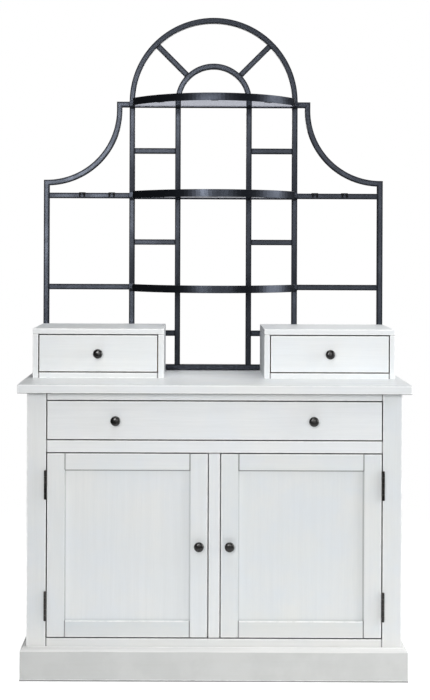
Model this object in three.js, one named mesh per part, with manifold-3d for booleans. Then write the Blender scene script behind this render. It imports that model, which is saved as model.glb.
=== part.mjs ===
import * as THREE from 'three';
import { mergeVertices } from 'three/addons/utils/BufferGeometryUtils.js';
import Module from 'manifold-3d';

const wasm = await Module();
wasm.setup();

// A hutch: a painted sideboard, two small drawer boxes on its worktop and an arched metal rack behind them.
// Sizes are in millimetres. It stands on the floor at z = 0, centred across and in depth.
// The front faces -Y and its left side is at -X.

// Whole object
const worktopWidth = 1219;
const worktopDepth = 457;
const worktopHeight = 914;
const crownHeight = 2134;

// Clearances, chamfers and cutting
const fitGap = 0.3;
const frontGap = 3;
const boardEase = 1.2;
const tubeEase = 1.2;
const overrun = 5;

// Sideboard frame
const worktopThickness = 28;
const worktopEase = 2;
const sideOverhang = 27;
const frontOverhang = 27;
const postWidth = 60;
const postDepth = 44;
const railThickness = 22;
const topRailHeight = 23;
const drawerOpeningHeight = 125;
const drawerRailHeight = 37.5;
const bottomRailShow = 25;
const bottomRailLap = 37;
const centreStileWidth = 35;
const doorStopLap = 10;
const doorStopThickness = 15;
const doorStopGap = 0.5;

// Plinth
const plinthHeight = 99;
const plinthThickness = 17.5;
const plinthBevel = 9;

// Sides, back, floor and inner shelf
const sideRailThickness = 20;
const sideRailHeight = 60;
const sidePanelThickness = 10;
const sidePanelSetback = 8;
const bearerWidth = 20;
const bearerHeight = 20;
const backPanelThickness = 6;
const backPanelLift = 20;
const boardThickness = 18;

// Wide drawer and its runners
const drawerFrontThickness = 20;
const drawerWall = 12;
const drawerBottomThickness = 6;
const drawerBottomLift = 9;
const drawerTopClearance = 30;
const drawerBackGap = 24;
const drawerSideClearance = 1;
const runnerLedgeWidth = 36;
const runnerLedgeThickness = 18;
const guideThickness = 10;
const guideHeight = 30;
const wideKnobSpacing = 614;

// Doors
const doorThickness = 20;
const stileWidth = 54;
const doorRailHeight = 51;
const doorPanelThickness = 8;
const doorPanelSetback = 8;
const panelGrooveDepth = 8;

// Butt hinges
const hingeLength = 89;
const hingeInset = 52.5;
const hingeKnuckles = 5;
const barrelRadius = 4.5;
const leafDepth = 17;
const leafGap = 0.6;
const pinRadius = 2;
const pinClearance = 0.4;

// Knobs
const knobProjection = 26;
const knobRadius = 15.5;
const knobDomeHeight = 9;
const knobNeckRadius = 5.5;
const knobNeckHeight = 8;
const knobRoseRadius = 8.5;
const knobRoseThickness = 2;

// Small drawer boxes
const boxWidth = 424;
const boxDepth = 246;
const boxHeight = 160;
const boxBackThickness = 12;
const smallDrawerWall = 10;
const smallDrawerTopClearance = 28;
const smallDrawerBackGap = 10;

// Rack tubes
const tubeSize = 19;
const rackEndInset = 22.5;
const hoopWidth = 582;
const innerHoopWidth = 265;
const rackBackInset = 18;
const spokeGap = 0.8;
const spokeAngle = Math.PI / 4;

// Rack wings
const stubReach = 44;
const shoulderRise = 54;
const clipWidth = 22;
const clipThickness = 1.6;
const clipShares = [0.22, 0.59];

// Bowed shelves
const shelfCount = 3;
const lowShelfRise = 287;
const topShelfDrop = 10;
const lowRungShare = 0.557;
const rungShare = 0.508;
const bandHeight = 25;
const bandThickness = 3;
const shelfReach = 210;
const shelfArmLength = 73;
const rearBarWidth = 15;
const tabLength = 24;
const tabWidth = 12;
const tabShares = [-0.6, 0, 0.6];
const glassThickness = 5;
const glassGap = 0.5;

// Smoothness of round forms
const archSteps = 16;
const knobSides = 20;
const knobSteps = 3;
const barrelSides = 16;

// Places worked out from the sizes
const halfWidth = worktopWidth / 2;
const halfDepth = worktopDepth / 2;
const carcassHalf = halfWidth - sideOverhang;
const openingHalf = carcassHalf - postWidth;
const faceY = frontOverhang - halfDepth;
const backY = halfDepth - backPanelThickness;
const undersideZ = worktopHeight - worktopThickness;
const drawerTopZ = undersideZ - topRailHeight;
const drawerLowZ = drawerTopZ - drawerOpeningHeight;
const doorTopZ = drawerLowZ - drawerRailHeight;
const doorLowZ = plinthHeight + bottomRailShow;
const lowRailZ = plinthHeight - bottomRailLap;
const shelfLowZ = (doorLowZ + doorTopZ - boardThickness) / 2;
const sidePanelInner = carcassHalf - sidePanelSetback - sidePanelThickness;
const frontPostBackY = faceY + postDepth;
const backPostFrontY = backY - postDepth;
const stileHalf = centreStileWidth / 2;
const rackBackY = halfDepth - rackBackInset;
const rackFrontY = rackBackY - tubeSize;
const rackHalf = halfWidth - rackEndInset;
const hoopHalf = hoopWidth / 2;
const innerHoopHalf = innerHoopWidth / 2;
const archZ = crownHeight - hoopHalf;
const topShelfZ = archZ - topShelfDrop;
const lowShelfZ = worktopHeight + lowShelfRise;
const shelfPitch = (topShelfZ - lowShelfZ) / (shelfCount - 1);

const hutch = new THREE.Group();

// Materials
function paintedWood() {
  return new THREE.MeshStandardMaterial({ color: 0xe3e6e8, roughness: 0.45, metalness: 0 });
}

function bareWood() {
  return new THREE.MeshStandardMaterial({ color: 0xcdb894, roughness: 0.7, metalness: 0 });
}

function rackSteel() {
  return new THREE.MeshStandardMaterial({ color: 0x43464c, roughness: 0.42, metalness: 0.8 });
}

function bronze() {
  return new THREE.MeshStandardMaterial({ color: 0x2b2622, roughness: 0.35, metalness: 0.9 });
}

function clearGlass() {
  const look = { color: 0xdfe4ea, roughness: 0.05, metalness: 0, transparent: true, opacity: 0.4 };
  return new THREE.MeshStandardMaterial(look);
}

// Spans and placing
function middle(span) {
  return (span[0] + span[1]) / 2;
}

function length(span) {
  return span[1] - span[0];
}

function across(side, near, far) {
  return side < 0 ? [-far, -near] : [near, far];
}

function evenly(half) {
  return [-half, half];
}

function addPiece(parent, name, geometry, material) {
  const mesh = new THREE.Mesh(geometry, material);
  mesh.name = name;
  parent.add(mesh);
  return mesh;
}

// Solids to cut and join
function solidOf(geometry) {
  const bare = geometry.clone();
  bare.deleteAttribute('normal');
  bare.deleteAttribute('uv');
  const merged = mergeVertices(bare);
  const vertProperties = new Float32Array(merged.attributes.position.array);
  const triVerts = new Uint32Array(merged.index.array);
  return new wasm.Manifold(new wasm.Mesh({ numProp: 3, vertProperties, triVerts }));
}

function geometryOf(solid) {
  const mesh = solid.getMesh();
  const geometry = new THREE.BufferGeometry();
  geometry.setAttribute('position', new THREE.BufferAttribute(new Float32Array(mesh.vertProperties), 3));
  geometry.setIndex(new THREE.BufferAttribute(new Uint32Array(mesh.triVerts), 1));
  geometry.computeVertexNormals();
  return geometry;
}

function joined(geometries) {
  const solids = geometries.map(solidOf);
  return geometryOf(solids.reduce((whole, next) => whole.add(next)));
}

function cutAway(geometry, cutters) {
  return geometryOf(cutters.map(solidOf).reduce((rest, cutter) => rest.subtract(cutter), solidOf(geometry)));
}

// Outline extruded upwards from z = 0, with its top and bottom edges chamfered inside the outline
function extruded(shape, height, ease) {
  const options = {
    depth: height - 2 * ease,
    bevelEnabled: ease > 0,
    bevelThickness: ease,
    bevelSize: ease,
    bevelOffset: -ease,
    bevelSegments: 1,
    curveSegments: archSteps,
  };
  return new THREE.ExtrudeGeometry(shape, options).translate(0, 0, ease);
}

// Outline drawn as seen from the front, extruded from its back face at backFace towards the front
function uprightExtruded(shape, thickness, ease, backFace) {
  return extruded(shape, thickness, ease).rotateX(Math.PI / 2).translate(0, backFace, 0);
}

function outlineOf(points) {
  return new THREE.Shape(points.map(([x, y]) => new THREE.Vector2(x, y)));
}

// Board centred on the origin, with all twelve edges chamfered alike
function easedBoard(width, depth, height, ease) {
  const x = width / 2;
  const y = depth / 2;
  const cut = ease;
  const outline = outlineOf([
    [-x + cut, -y], [x - cut, -y], [x, -y + cut], [x, y - cut],
    [x - cut, y], [-x + cut, y], [-x, y - cut], [-x, -y + cut],
  ]);
  return extruded(outline, height, ease).translate(0, 0, -height / 2);
}

function boardAt(x, y, z, ease) {
  const board = easedBoard(length(x), length(y), length(z), ease);
  return board.translate(middle(x), middle(y), middle(z));
}

function blockAt(x, y, z) {
  return new THREE.BoxGeometry(length(x), length(y), length(z)).translate(middle(x), middle(y), middle(z));
}

function addBoard(parent, name, x, y, z, material) {
  const mesh = addPiece(parent, name, easedBoard(length(x), length(y), length(z), boardEase), material);
  mesh.position.set(middle(x), middle(y), middle(z));
  return mesh;
}

function rodAt(radius, x, y, z) {
  const rod = new THREE.CylinderGeometry(radius, radius, length(z), barrelSides).rotateX(Math.PI / 2);
  return rod.translate(x, y, middle(z));
}

// Sideboard frame
function addWorktop(parent) {
  const top = easedBoard(worktopWidth, worktopDepth, worktopThickness, worktopEase);
  addPiece(parent, 'worktop', top, paintedWood()).position.z = worktopHeight - worktopThickness / 2;
}

function addPosts(parent) {
  const height = [0, undersideZ];
  for (const [word, side] of [['left', -1], ['right', 1]]) {
    const x = across(side, openingHalf, carcassHalf);
    addBoard(parent, `front_post_${word}`, x, [faceY, frontPostBackY], height, paintedWood());
    addBoard(parent, `back_post_${word}`, x, [backPostFrontY, backY], height, paintedWood());
  }
}

function addFaceRails(parent) {
  const x = evenly(openingHalf);
  const y = [faceY, faceY + railThickness];
  addBoard(parent, 'top_rail', x, y, [drawerTopZ, undersideZ], paintedWood());
  addBoard(parent, 'drawer_rail', x, y, [doorTopZ, drawerLowZ], paintedWood());
  addBoard(parent, 'bottom_rail', x, y, [lowRailZ, doorLowZ], paintedWood());
}

// The centre stile carries a wider strip behind it, which the doors close against
function addCentreStile(parent) {
  const z = [doorLowZ, doorTopZ];
  const stopFront = faceY + doorThickness + doorStopGap;
  const stopX = evenly(stileHalf + frontGap + doorStopLap);
  const stopTop = doorTopZ - fitGap;
  const stile = boardAt(evenly(stileHalf), [faceY, stopFront + boardEase * 2], z, boardEase);
  const stop = boardAt(stopX, [stopFront, stopFront + doorStopThickness], [doorLowZ, stopTop], boardEase);
  addPiece(parent, 'centre_stile', joined([stile, stop]), paintedWood());
}

// The plinth goes round the front and both sides, with its top edge bevelled outwards
function addPlinth(parent) {
  const half = carcassHalf + plinthThickness;
  const frontY = faceY - plinthThickness;
  const shoulder = plinthHeight - plinthBevel;
  const fromFront = outlineOf([
    [-half, 0], [half, 0], [half, shoulder], [half - plinthBevel, plinthHeight],
    [plinthBevel - half, plinthHeight], [-half, shoulder],
  ]);
  const fromSide = outlineOf([
    [frontY, 0], [halfDepth, 0], [halfDepth, plinthHeight],
    [frontY + plinthBevel, plinthHeight], [frontY, shoulder],
  ]);
  const long = uprightExtruded(fromFront, halfDepth - frontY, 0, halfDepth);
  const wide = extruded(fromSide, half * 2, 0).rotateX(Math.PI / 2).rotateZ(Math.PI / 2);
  const carcass = blockAt(
    evenly(carcassHalf), [faceY, halfDepth + overrun], [-overrun, plinthHeight + overrun],
  );
  const block = solidOf(long).intersect(solidOf(wide.translate(-half, 0, 0)));
  addPiece(parent, 'plinth', geometryOf(block.subtract(solidOf(carcass))), paintedWood());
}

// Each side: two rails, a recessed panel between them and a bearer for the inner shelf
function addSides(parent) {
  const y = [frontPostBackY, backPostFrontY];
  for (const [word, side] of [['left', -1], ['right', 1]]) {
    const railX = across(side, carcassHalf - sideRailThickness, carcassHalf);
    const panelX = across(side, sidePanelInner, carcassHalf - sidePanelSetback);
    const bearerX = across(side, sidePanelInner - bearerWidth, sidePanelInner + sidePanelThickness / 2);
    const pieces = [
      boardAt(railX, y, [undersideZ - sideRailHeight, undersideZ], boardEase),
      boardAt(railX, y, [lowRailZ, doorLowZ], boardEase),
      blockAt(panelX, y, [lowRailZ + boardEase * 2, undersideZ - boardEase * 2]),
      boardAt(bearerX, y, [shelfLowZ - bearerHeight, shelfLowZ], boardEase),
    ];
    addPiece(parent, `side_panel_${word}`, joined(pieces), paintedWood());
  }
}

function addBack(parent) {
  const y = [backY, halfDepth];
  addBoard(parent, 'back_panel', evenly(carcassHalf), y, [backPanelLift, undersideZ], bareWood());
}

// The floor is notched round the four posts
function addFloor(parent) {
  const wide = carcassHalf - sideRailThickness - fitGap;
  const narrow = openingHalf - fitGap;
  const front = faceY + railThickness;
  const notchFront = frontPostBackY + fitGap;
  const notchBack = backPostFrontY - fitGap;
  const outline = outlineOf([
    [-narrow, front], [narrow, front], [narrow, notchFront], [wide, notchFront],
    [wide, notchBack], [narrow, notchBack], [narrow, backY], [-narrow, backY],
    [-narrow, notchBack], [-wide, notchBack], [-wide, notchFront], [-narrow, notchFront],
  ]);
  const floor = addPiece(parent, 'cabinet_floor', extruded(outline, boardThickness, 0), bareWood());
  floor.position.z = doorLowZ - boardThickness;
}

function addInnerShelf(parent) {
  const y = [frontPostBackY + fitGap, backPostFrontY - fitGap];
  const z = [shelfLowZ, shelfLowZ + boardThickness];
  addBoard(parent, 'cabinet_shelf', evenly(sidePanelInner - fitGap), y, z, bareWood());
}

// Each runner is a ledge under the drawer's side and a guide beside it
function addRunners(parent) {
  for (const [word, side] of [['left', -1], ['right', 1]]) {
    const wall = side * openingHalf;
    const guide = side * (openingHalf - guideThickness);
    const ledge = side * (openingHalf - runnerLedgeWidth);
    const low = drawerLowZ - runnerLedgeThickness;
    const high = drawerLowZ + guideHeight;
    const profile = outlineOf([
      [ledge, low], [wall, low], [wall, high], [guide, high], [guide, drawerLowZ], [ledge, drawerLowZ],
    ]);
    const runner = uprightExtruded(profile, backY - faceY - railThickness, 0, backY);
    addPiece(parent, `drawer_runner_${word}`, runner, bareWood());
  }
}

// Open drawer box with its bottom let in above the lower edge of its walls
function drawerBox(x, y, z, wall) {
  const innerX = [x[0] + wall, x[1] - wall];
  const innerY = [y[0] + wall, y[1] - wall];
  const bottomLow = z[0] + drawerBottomLift;
  const inside = blockAt(innerX, innerY, [bottomLow + drawerBottomThickness, z[1] + overrun]);
  const under = blockAt(innerX, innerY, [z[0] - overrun, bottomLow]);
  return cutAway(boardAt(x, y, z, boardEase), [inside, under]);
}

// Turned knob: a flat rose, a waisted neck and a domed head
function knobShape() {
  const widest = knobProjection - knobDomeHeight;
  const profile = new THREE.Path();
  profile.moveTo(0, 0);
  profile.lineTo(knobRoseRadius, 0);
  profile.lineTo(knobRoseRadius, knobRoseThickness);
  profile.quadraticCurveTo(knobNeckRadius, knobRoseThickness, knobNeckRadius, knobNeckHeight);
  profile.quadraticCurveTo(knobNeckRadius, widest, knobRadius, widest);
  profile.absellipse(0, widest, knobRadius, knobDomeHeight, 0, Math.PI / 2);
  const points = profile.getPoints(knobSteps);
  points[points.length - 1].x = 0;
  return geometryOf(solidOf(new THREE.LatheGeometry(points, knobSides)));
}

function addKnob(parent, name, x, y, z) {
  const knob = addPiece(parent, name, knobShape(), bronze());
  knob.rotation.x = Math.PI;
  knob.position.set(x, y, z);
}

function addWideDrawer(parent) {
  const frontBack = faceY + drawerFrontThickness;
  const frontZ = [drawerLowZ + frontGap, drawerTopZ - frontGap];
  const boxHalf = openingHalf - guideThickness - drawerSideClearance;
  const boxZ = [drawerLowZ + fitGap, drawerTopZ - drawerTopClearance];
  const boxY = [frontBack, backY - drawerBackGap];
  addBoard(parent, 'wide_drawer_front', evenly(openingHalf - frontGap), [faceY, frontBack], frontZ, paintedWood());
  addPiece(parent, 'wide_drawer_box', drawerBox(evenly(boxHalf), boxY, boxZ, drawerWall), bareWood());
  addKnob(parent, 'wide_drawer_knob_left', -wideKnobSpacing / 2, faceY, middle(frontZ));
  addKnob(parent, 'wide_drawer_knob_right', wideKnobSpacing / 2, faceY, middle(frontZ));
}

// Framed door with a flat panel held in grooves
function addDoor(parent, word, side) {
  const inner = stileHalf + frontGap;
  const outer = openingHalf - frontGap;
  const low = doorLowZ + frontGap;
  const high = doorTopZ - frontGap;
  const y = [faceY, faceY + doorThickness];
  const panelFront = faceY + doorPanelSetback;
  const panelY = [panelFront, panelFront + doorPanelThickness];
  const reach = panelGrooveDepth - fitGap;
  const panelX = across(side, inner + stileWidth - reach, outer - stileWidth + reach);
  const panelZ = [low + doorRailHeight - reach, high - doorRailHeight + reach];
  const groove = blockAt(
    [panelX[0] - fitGap, panelX[1] + fitGap],
    [panelY[0] - fitGap, panelY[1] + fitGap],
    [panelZ[0] - fitGap, panelZ[1] + fitGap],
  );
  const members = [
    ['hinge_stile', across(side, outer - stileWidth, outer), [low, high]],
    ['lock_stile', across(side, inner, inner + stileWidth), [low, high]],
    ['top_rail', across(side, inner + stileWidth, outer - stileWidth), [high - doorRailHeight, high]],
    ['bottom_rail', across(side, inner + stileWidth, outer - stileWidth), [low, low + doorRailHeight]],
  ];
  for (const [member, x, z] of members) {
    const grooved = cutAway(boardAt(x, y, z, boardEase), [groove]);
    addPiece(parent, `${word}_door_${member}`, grooved, paintedWood());
  }
  addPiece(parent, `${word}_door_panel`, blockAt(panelX, panelY, panelZ), paintedWood());
  addKnob(parent, `${word}_door_knob`, side * (inner + stileWidth / 2), faceY, (low + high) / 2);
}

// Butt hinge: the post leaf holds the pin and the odd knuckles, the door leaf the even ones
function addHinge(parent, word, side, lowZ) {
  const leafThickness = (frontGap - leafGap) / 2;
  const axisX = side * (openingHalf - frontGap / 2);
  const axisY = faceY - barrelRadius - fitGap;
  const postX = across(side, openingHalf - leafThickness, openingHalf);
  const doorX = across(side, openingHalf - frontGap, openingHalf - frontGap + leafThickness);
  const leafY = [faceY, faceY + leafDepth];
  const leafZ = [lowZ, lowZ + hingeLength];
  const post = [blockAt(postX, leafY, leafZ), rodAt(pinRadius, axisX, axisY, leafZ)];
  const door = [blockAt(doorX, leafY, leafZ)];
  const knuckleLength = hingeLength / hingeKnuckles;
  for (let knuckle = 0; knuckle < hingeKnuckles; knuckle += 1) {
    const low = lowZ + knuckle * knuckleLength;
    const isPost = knuckle % 2 === 0;
    const gap = isPost ? 0 : fitGap;
    const z = [low + gap, low + knuckleLength - gap];
    const leaf = isPost ? post : door;
    leaf.push(rodAt(barrelRadius, axisX, axisY, z));
    leaf.push(blockAt(isPost ? postX : doorX, [axisY, leafY[1]], z));
  }
  const bore = rodAt(pinRadius + pinClearance, axisX, axisY, [lowZ - overrun, leafZ[1] + overrun]);
  addPiece(parent, `${word}_hinge_post_leaf`, joined(post), bronze());
  addPiece(parent, `${word}_hinge_door_leaf`, cutAway(joined(door), [bore]), bronze());
}

function addDoorsAndHinges(parent) {
  for (const [word, side] of [['left', -1], ['right', 1]]) {
    addDoor(parent, word, side);
    addHinge(parent, `${word}_lower`, side, doorLowZ + frontGap + hingeInset);
    addHinge(parent, `${word}_upper`, side, doorTopZ - frontGap - hingeInset - hingeLength);
  }
}

// Small boxes on the worktop, each with one inset drawer
function addSmallBox(parent, word, side) {
  const caseX = across(side, rackHalf - boxWidth, rackHalf);
  const front = rackFrontY - boxDepth;
  const caseZ = [worktopHeight, worktopHeight + boxHeight];
  const holeX = [caseX[0] + boardThickness, caseX[1] - boardThickness];
  const holeZ = [caseZ[0] + boardThickness, caseZ[1] - boardThickness];
  const holeBack = rackFrontY - boxBackThickness;
  const hollow = blockAt(holeX, [front - overrun, holeBack], holeZ);
  const box = cutAway(boardAt(caseX, [front, rackFrontY], caseZ, boardEase), [hollow]);
  addPiece(parent, `${word}_box_case`, box, paintedWood());

  const frontX = [holeX[0] + frontGap, holeX[1] - frontGap];
  const frontZ = [holeZ[0] + frontGap, holeZ[1] - frontGap];
  const frontBack = front + boardThickness;
  const trayX = [holeX[0] + drawerSideClearance, holeX[1] - drawerSideClearance];
  const trayY = [frontBack, holeBack - smallDrawerBackGap];
  const trayZ = [holeZ[0] + fitGap, holeZ[1] - smallDrawerTopClearance];
  addBoard(parent, `${word}_small_drawer_front`, frontX, [front, frontBack], frontZ, paintedWood());
  addPiece(parent, `${word}_small_drawer_box`, drawerBox(trayX, trayY, trayZ, smallDrawerWall), bareWood());
  addKnob(parent, `${word}_small_drawer_knob`, middle(caseX), front, middle(frontZ));
}

// Square tube bent into an upside-down U
function hoopAt(half, footZ) {
  const inner = half - tubeSize;
  const outline = new THREE.Shape();
  outline.moveTo(-half, footZ);
  outline.lineTo(-half, archZ);
  outline.absarc(0, archZ, half, Math.PI, 0, true);
  outline.lineTo(half, footZ);
  outline.lineTo(inner, footZ);
  outline.lineTo(inner, archZ);
  outline.absarc(0, archZ, inner, 0, Math.PI, false);
  outline.lineTo(-inner, footZ);
  return uprightExtruded(outline, tubeSize, tubeEase, rackBackY);
}

function tubeAt(x, z) {
  return boardAt(x, [rackFrontY, rackBackY], z, tubeEase);
}

function tubeRow(centreZ) {
  return [centreZ - tubeSize / 2, centreZ + tubeSize / 2];
}

// Spoke between the two arches, turned from the upright
function spokeAt(angle) {
  const start = innerHoopHalf - tubeSize / 2;
  const end = hoopHalf - tubeSize - spokeGap;
  const spoke = easedBoard(tubeSize, tubeSize, end - start, tubeEase);
  return spoke.translate(0, 0, (start + end) / 2).rotateY(angle).translate(0, middle([rackFrontY, rackBackY]), archZ);
}

function shelfCentre(index) {
  return lowShelfZ + index * shelfPitch;
}

// Each rung lies a share of the way from its shelf down to the next level
function rungCentre(index) {
  const drop = index === 0 ? lowRungShare * lowShelfRise : rungShare * shelfPitch;
  return shelfCentre(index) - drop;
}

function addRackCentre(parent) {
  const railX = evenly(hoopHalf - tubeSize);
  const railZ = [worktopHeight, worktopHeight + tubeSize];
  const pieces = [hoopAt(innerHoopHalf, railZ[1]), spokeAt(spokeAngle), spokeAt(-spokeAngle)];
  for (const side of [-1, 1]) {
    const rungX = across(side, innerHoopHalf - tubeSize / 2, hoopHalf - tubeSize);
    for (let index = 0; index < shelfCount; index += 1) {
      pieces.push(tubeAt(rungX, tubeRow(rungCentre(index))));
    }
  }
  addPiece(parent, 'rack_outer_hoop', hoopAt(hoopHalf, worktopHeight), rackSteel());
  addPiece(parent, 'rack_inner_hoop', joined(pieces), rackSteel());
  addPiece(parent, 'rack_bottom_rail', tubeAt(railX, railZ), rackSteel());
}

// Wing outline: a stub off the hoop, a hollow quarter turn down to the shoulder, and the outer post
function wingOutline(side) {
  const stubZ = tubeRow(topShelfZ);
  const shoulderTop = shelfCentre(shelfCount - 2) + shoulderRise;
  const stubEnd = hoopHalf + stubReach;
  const postInner = rackHalf - tubeSize;
  const acrossTurn = rackHalf - tubeSize / 2 - (stubEnd - tubeSize / 2);
  const downTurn = stubZ[0] - (shoulderTop - tubeSize / 2);
  const turn = Math.min(acrossTurn, downTurn);
  const turnX = stubEnd - tubeSize / 2 + turn;
  const turnZ = shoulderTop - tubeSize / 2 + turn;
  const upper = turn - tubeSize / 2;
  const lower = turn + tubeSize / 2;
  const upperArc = arcPoints(turnX, turnZ, upper, Math.PI, Math.PI * 3 / 2);
  const lowerEnd = turnX > postInner ? Math.PI + Math.acos((turnX - postInner) / lower) : Math.PI * 3 / 2;
  const lowerArc = arcPoints(turnX, turnZ, lower, lowerEnd, Math.PI);
  const corner = turnX > postInner ? [] : [[postInner, shoulderTop - tubeSize]];
  const points = [
    [hoopHalf, stubZ[1]], [stubEnd, stubZ[1]], ...upperArc,
    [rackHalf, shoulderTop], [rackHalf, worktopHeight], [postInner, worktopHeight],
    ...corner, ...lowerArc, [stubEnd - tubeSize, stubZ[0]], [hoopHalf, stubZ[0]],
  ];
  return outlineOf(points.map(([x, z]) => [side * x, z]));
}

function arcPoints(centreX, centreY, radius, start, end) {
  const points = [];
  for (let step = 0; step <= archSteps; step += 1) {
    const angle = start + (end - start) * step / archSteps;
    points.push([centreX + radius * Math.cos(angle), centreY + radius * Math.sin(angle)]);
  }
  return points;
}

// Clip: a strap bent over the rail's top, front and back
function clipAt(side, share, railZ) {
  const centre = hoopHalf + share * (rackHalf - tubeSize - hoopHalf);
  const x = across(side, centre - clipWidth / 2, centre + clipWidth / 2);
  const y = [rackFrontY - clipThickness, rackBackY + clipThickness];
  return boardAt(x, y, [middle(railZ) - tubeSize / 4, railZ[1] + clipThickness], clipThickness / 2);
}

function addWing(parent, word, side) {
  const railX = across(side, hoopHalf, rackHalf - tubeSize / 2);
  const middleRailZ = tubeRow(shelfCentre(shelfCount - 2));
  const pieces = [
    uprightExtruded(wingOutline(side), tubeSize, tubeEase, rackBackY),
    tubeAt(railX, [worktopHeight, worktopHeight + tubeSize]),
  ];
  for (let index = 0; index < shelfCount - 1; index += 1) {
    pieces.push(tubeAt(railX, tubeRow(shelfCentre(index))));
  }
  for (const share of clipShares) {
    pieces.push(clipAt(side, share, middleRailZ));
  }
  addPiece(parent, `rack_wing_${word}`, joined(pieces), rackSteel());
}

// Plan of a bowed shelf: two straight arms off the posts and an arc across the front
const armInner = hoopHalf - tubeSize;
const armOuter = armInner + bandThickness;
const bowSag = shelfReach - shelfArmLength;
const bowRadius = (armOuter * armOuter + bowSag * bowSag) / (2 * bowSag);
const bowCentreY = rackFrontY - shelfReach + bowRadius;

function bowAngle(half, radius) {
  return Math.acos(half / radius);
}

function bowPoints(half, radius) {
  const start = -Math.PI + bowAngle(half, radius);
  return arcPoints(0, bowCentreY, radius, start, -Math.PI - start);
}

function bandOutline() {
  const outer = bowPoints(armOuter, bowRadius);
  const inner = bowPoints(armInner, bowRadius - bandThickness).reverse();
  const lugFront = rackFrontY - bandThickness;
  return outlineOf([
    [-hoopHalf, rackFrontY], [-hoopHalf, lugFront], [-armOuter, lugFront], ...outer,
    [armOuter, lugFront], [hoopHalf, lugFront], [hoopHalf, rackFrontY], [armInner, rackFrontY],
    ...inner, [-armInner, rackFrontY],
  ]);
}

// Small tab inside the band that the glass lies on
function tabAt(share, lowZ) {
  const radius = bowRadius - bandThickness;
  const angle = share * (Math.PI / 2 - bowAngle(armInner, radius));
  const tab = blockAt(evenly(tabLength / 2), [-radius - bandThickness / 2, tabWidth - radius], [0, bandThickness]);
  return tab.rotateZ(angle).translate(0, bowCentreY, lowZ);
}

function addShelf(parent, word, centreZ) {
  const low = centreZ - bandHeight / 2;
  const band = extruded(bandOutline(), bandHeight, 0).translate(0, 0, low);
  const barX = evenly(armInner + bandThickness / 2);
  const rearBar = blockAt(barX, [rackFrontY - rearBarWidth, rackFrontY], [low, low + bandThickness]);
  const tabs = tabShares.map((share) => tabAt(share, low));
  const half = armInner - glassGap;
  const bow = bowPoints(half, bowRadius - bandThickness - glassGap);
  const back = rackFrontY - glassGap;
  const plate = extruded(outlineOf([...bow, [half, back], [-half, back]]), glassThickness, 0);
  addPiece(parent, `shelf_band_${word}`, joined([band, rearBar, ...tabs]), rackSteel());
  addPiece(parent, `shelf_glass_${word}`, plate, clearGlass()).position.z = low + bandThickness;
}

// Put the hutch together
const sideboard = new THREE.Group();
addWorktop(sideboard);
addPosts(sideboard);
addFaceRails(sideboard);
addCentreStile(sideboard);
addPlinth(sideboard);
addSides(sideboard);
addBack(sideboard);
addFloor(sideboard);
addInnerShelf(sideboard);
addRunners(sideboard);
addWideDrawer(sideboard);
addDoorsAndHinges(sideboard);

const boxes = new THREE.Group();
addSmallBox(boxes, 'left', -1);
addSmallBox(boxes, 'right', 1);

const rack = new THREE.Group();
addRackCentre(rack);
addWing(rack, 'left', -1);
addWing(rack, 'right', 1);
['lower', 'middle', 'upper'].forEach((word, index) => addShelf(rack, word, shelfCentre(index)));

hutch.add(sideboard, boxes, rack);
export default hutch;
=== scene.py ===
"""A painted hutch with two small drawer boxes and an arched rack with glass shelves.

All lengths are in metres. The front faces -Y, the left side is at -X and the floor is at z = 0.
"""
import math

import bmesh
import bpy
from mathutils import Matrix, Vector


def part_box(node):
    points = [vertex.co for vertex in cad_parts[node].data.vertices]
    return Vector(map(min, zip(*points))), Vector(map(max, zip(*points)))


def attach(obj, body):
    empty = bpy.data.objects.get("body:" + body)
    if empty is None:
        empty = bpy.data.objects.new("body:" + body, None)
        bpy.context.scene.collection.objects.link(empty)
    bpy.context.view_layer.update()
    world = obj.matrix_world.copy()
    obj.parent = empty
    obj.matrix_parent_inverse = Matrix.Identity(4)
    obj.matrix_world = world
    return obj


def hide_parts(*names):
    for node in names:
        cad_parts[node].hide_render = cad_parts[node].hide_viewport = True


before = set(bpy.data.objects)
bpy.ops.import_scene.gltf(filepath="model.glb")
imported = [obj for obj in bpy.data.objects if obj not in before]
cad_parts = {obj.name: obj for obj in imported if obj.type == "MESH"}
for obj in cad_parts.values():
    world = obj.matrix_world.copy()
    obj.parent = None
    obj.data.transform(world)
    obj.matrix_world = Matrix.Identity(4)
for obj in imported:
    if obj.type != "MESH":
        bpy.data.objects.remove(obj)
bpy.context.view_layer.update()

bl_info = {
    "name": "Arched Hutch",
    "version": (1, 0, 0),
    "blender": (4, 5, 0),
    "location": "3D View > Sidebar > Hutch",
    "description": "Builds the boards, fittings, rack, glass shelves and studio of the hutch",
    "category": "Object",
}

# Sideboard
BOARD = 0.018
STOP_GAP = 0.0005
STOP_LAP = 0.013
STILE_THICKNESS = 0.02
SIDE_RAIL = 0.02
SIDE_RAIL_HEIGHT = 0.06
SIDE_SETBACK = 0.008
SIDE_PANEL = 0.01
BEARER = 0.02
PANEL_TONGUE = 0.003
PLINTH_THICKNESS = 0.0175
PLINTH_BEVEL = 0.009
BACK_RECESS = 0.0001
CONTACT_LINE = 0.014
PANEL_LINE = 0.0098
PANEL_FADE = 0.0125
# Heights below which the paint is scuffed and painted darker as shade near the floor
SCUFF_SHADE_START = 0.0885
SCUFF_SHADE_END = 0.0925
WARM_FOOT_START = 0.105
WARM_FOOT_END = 0.175
# Share of the worktop's lower edge that is painted dark as the shadow under it
UNDERSIDE_SHADOW_SHARE = 0.8
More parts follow.
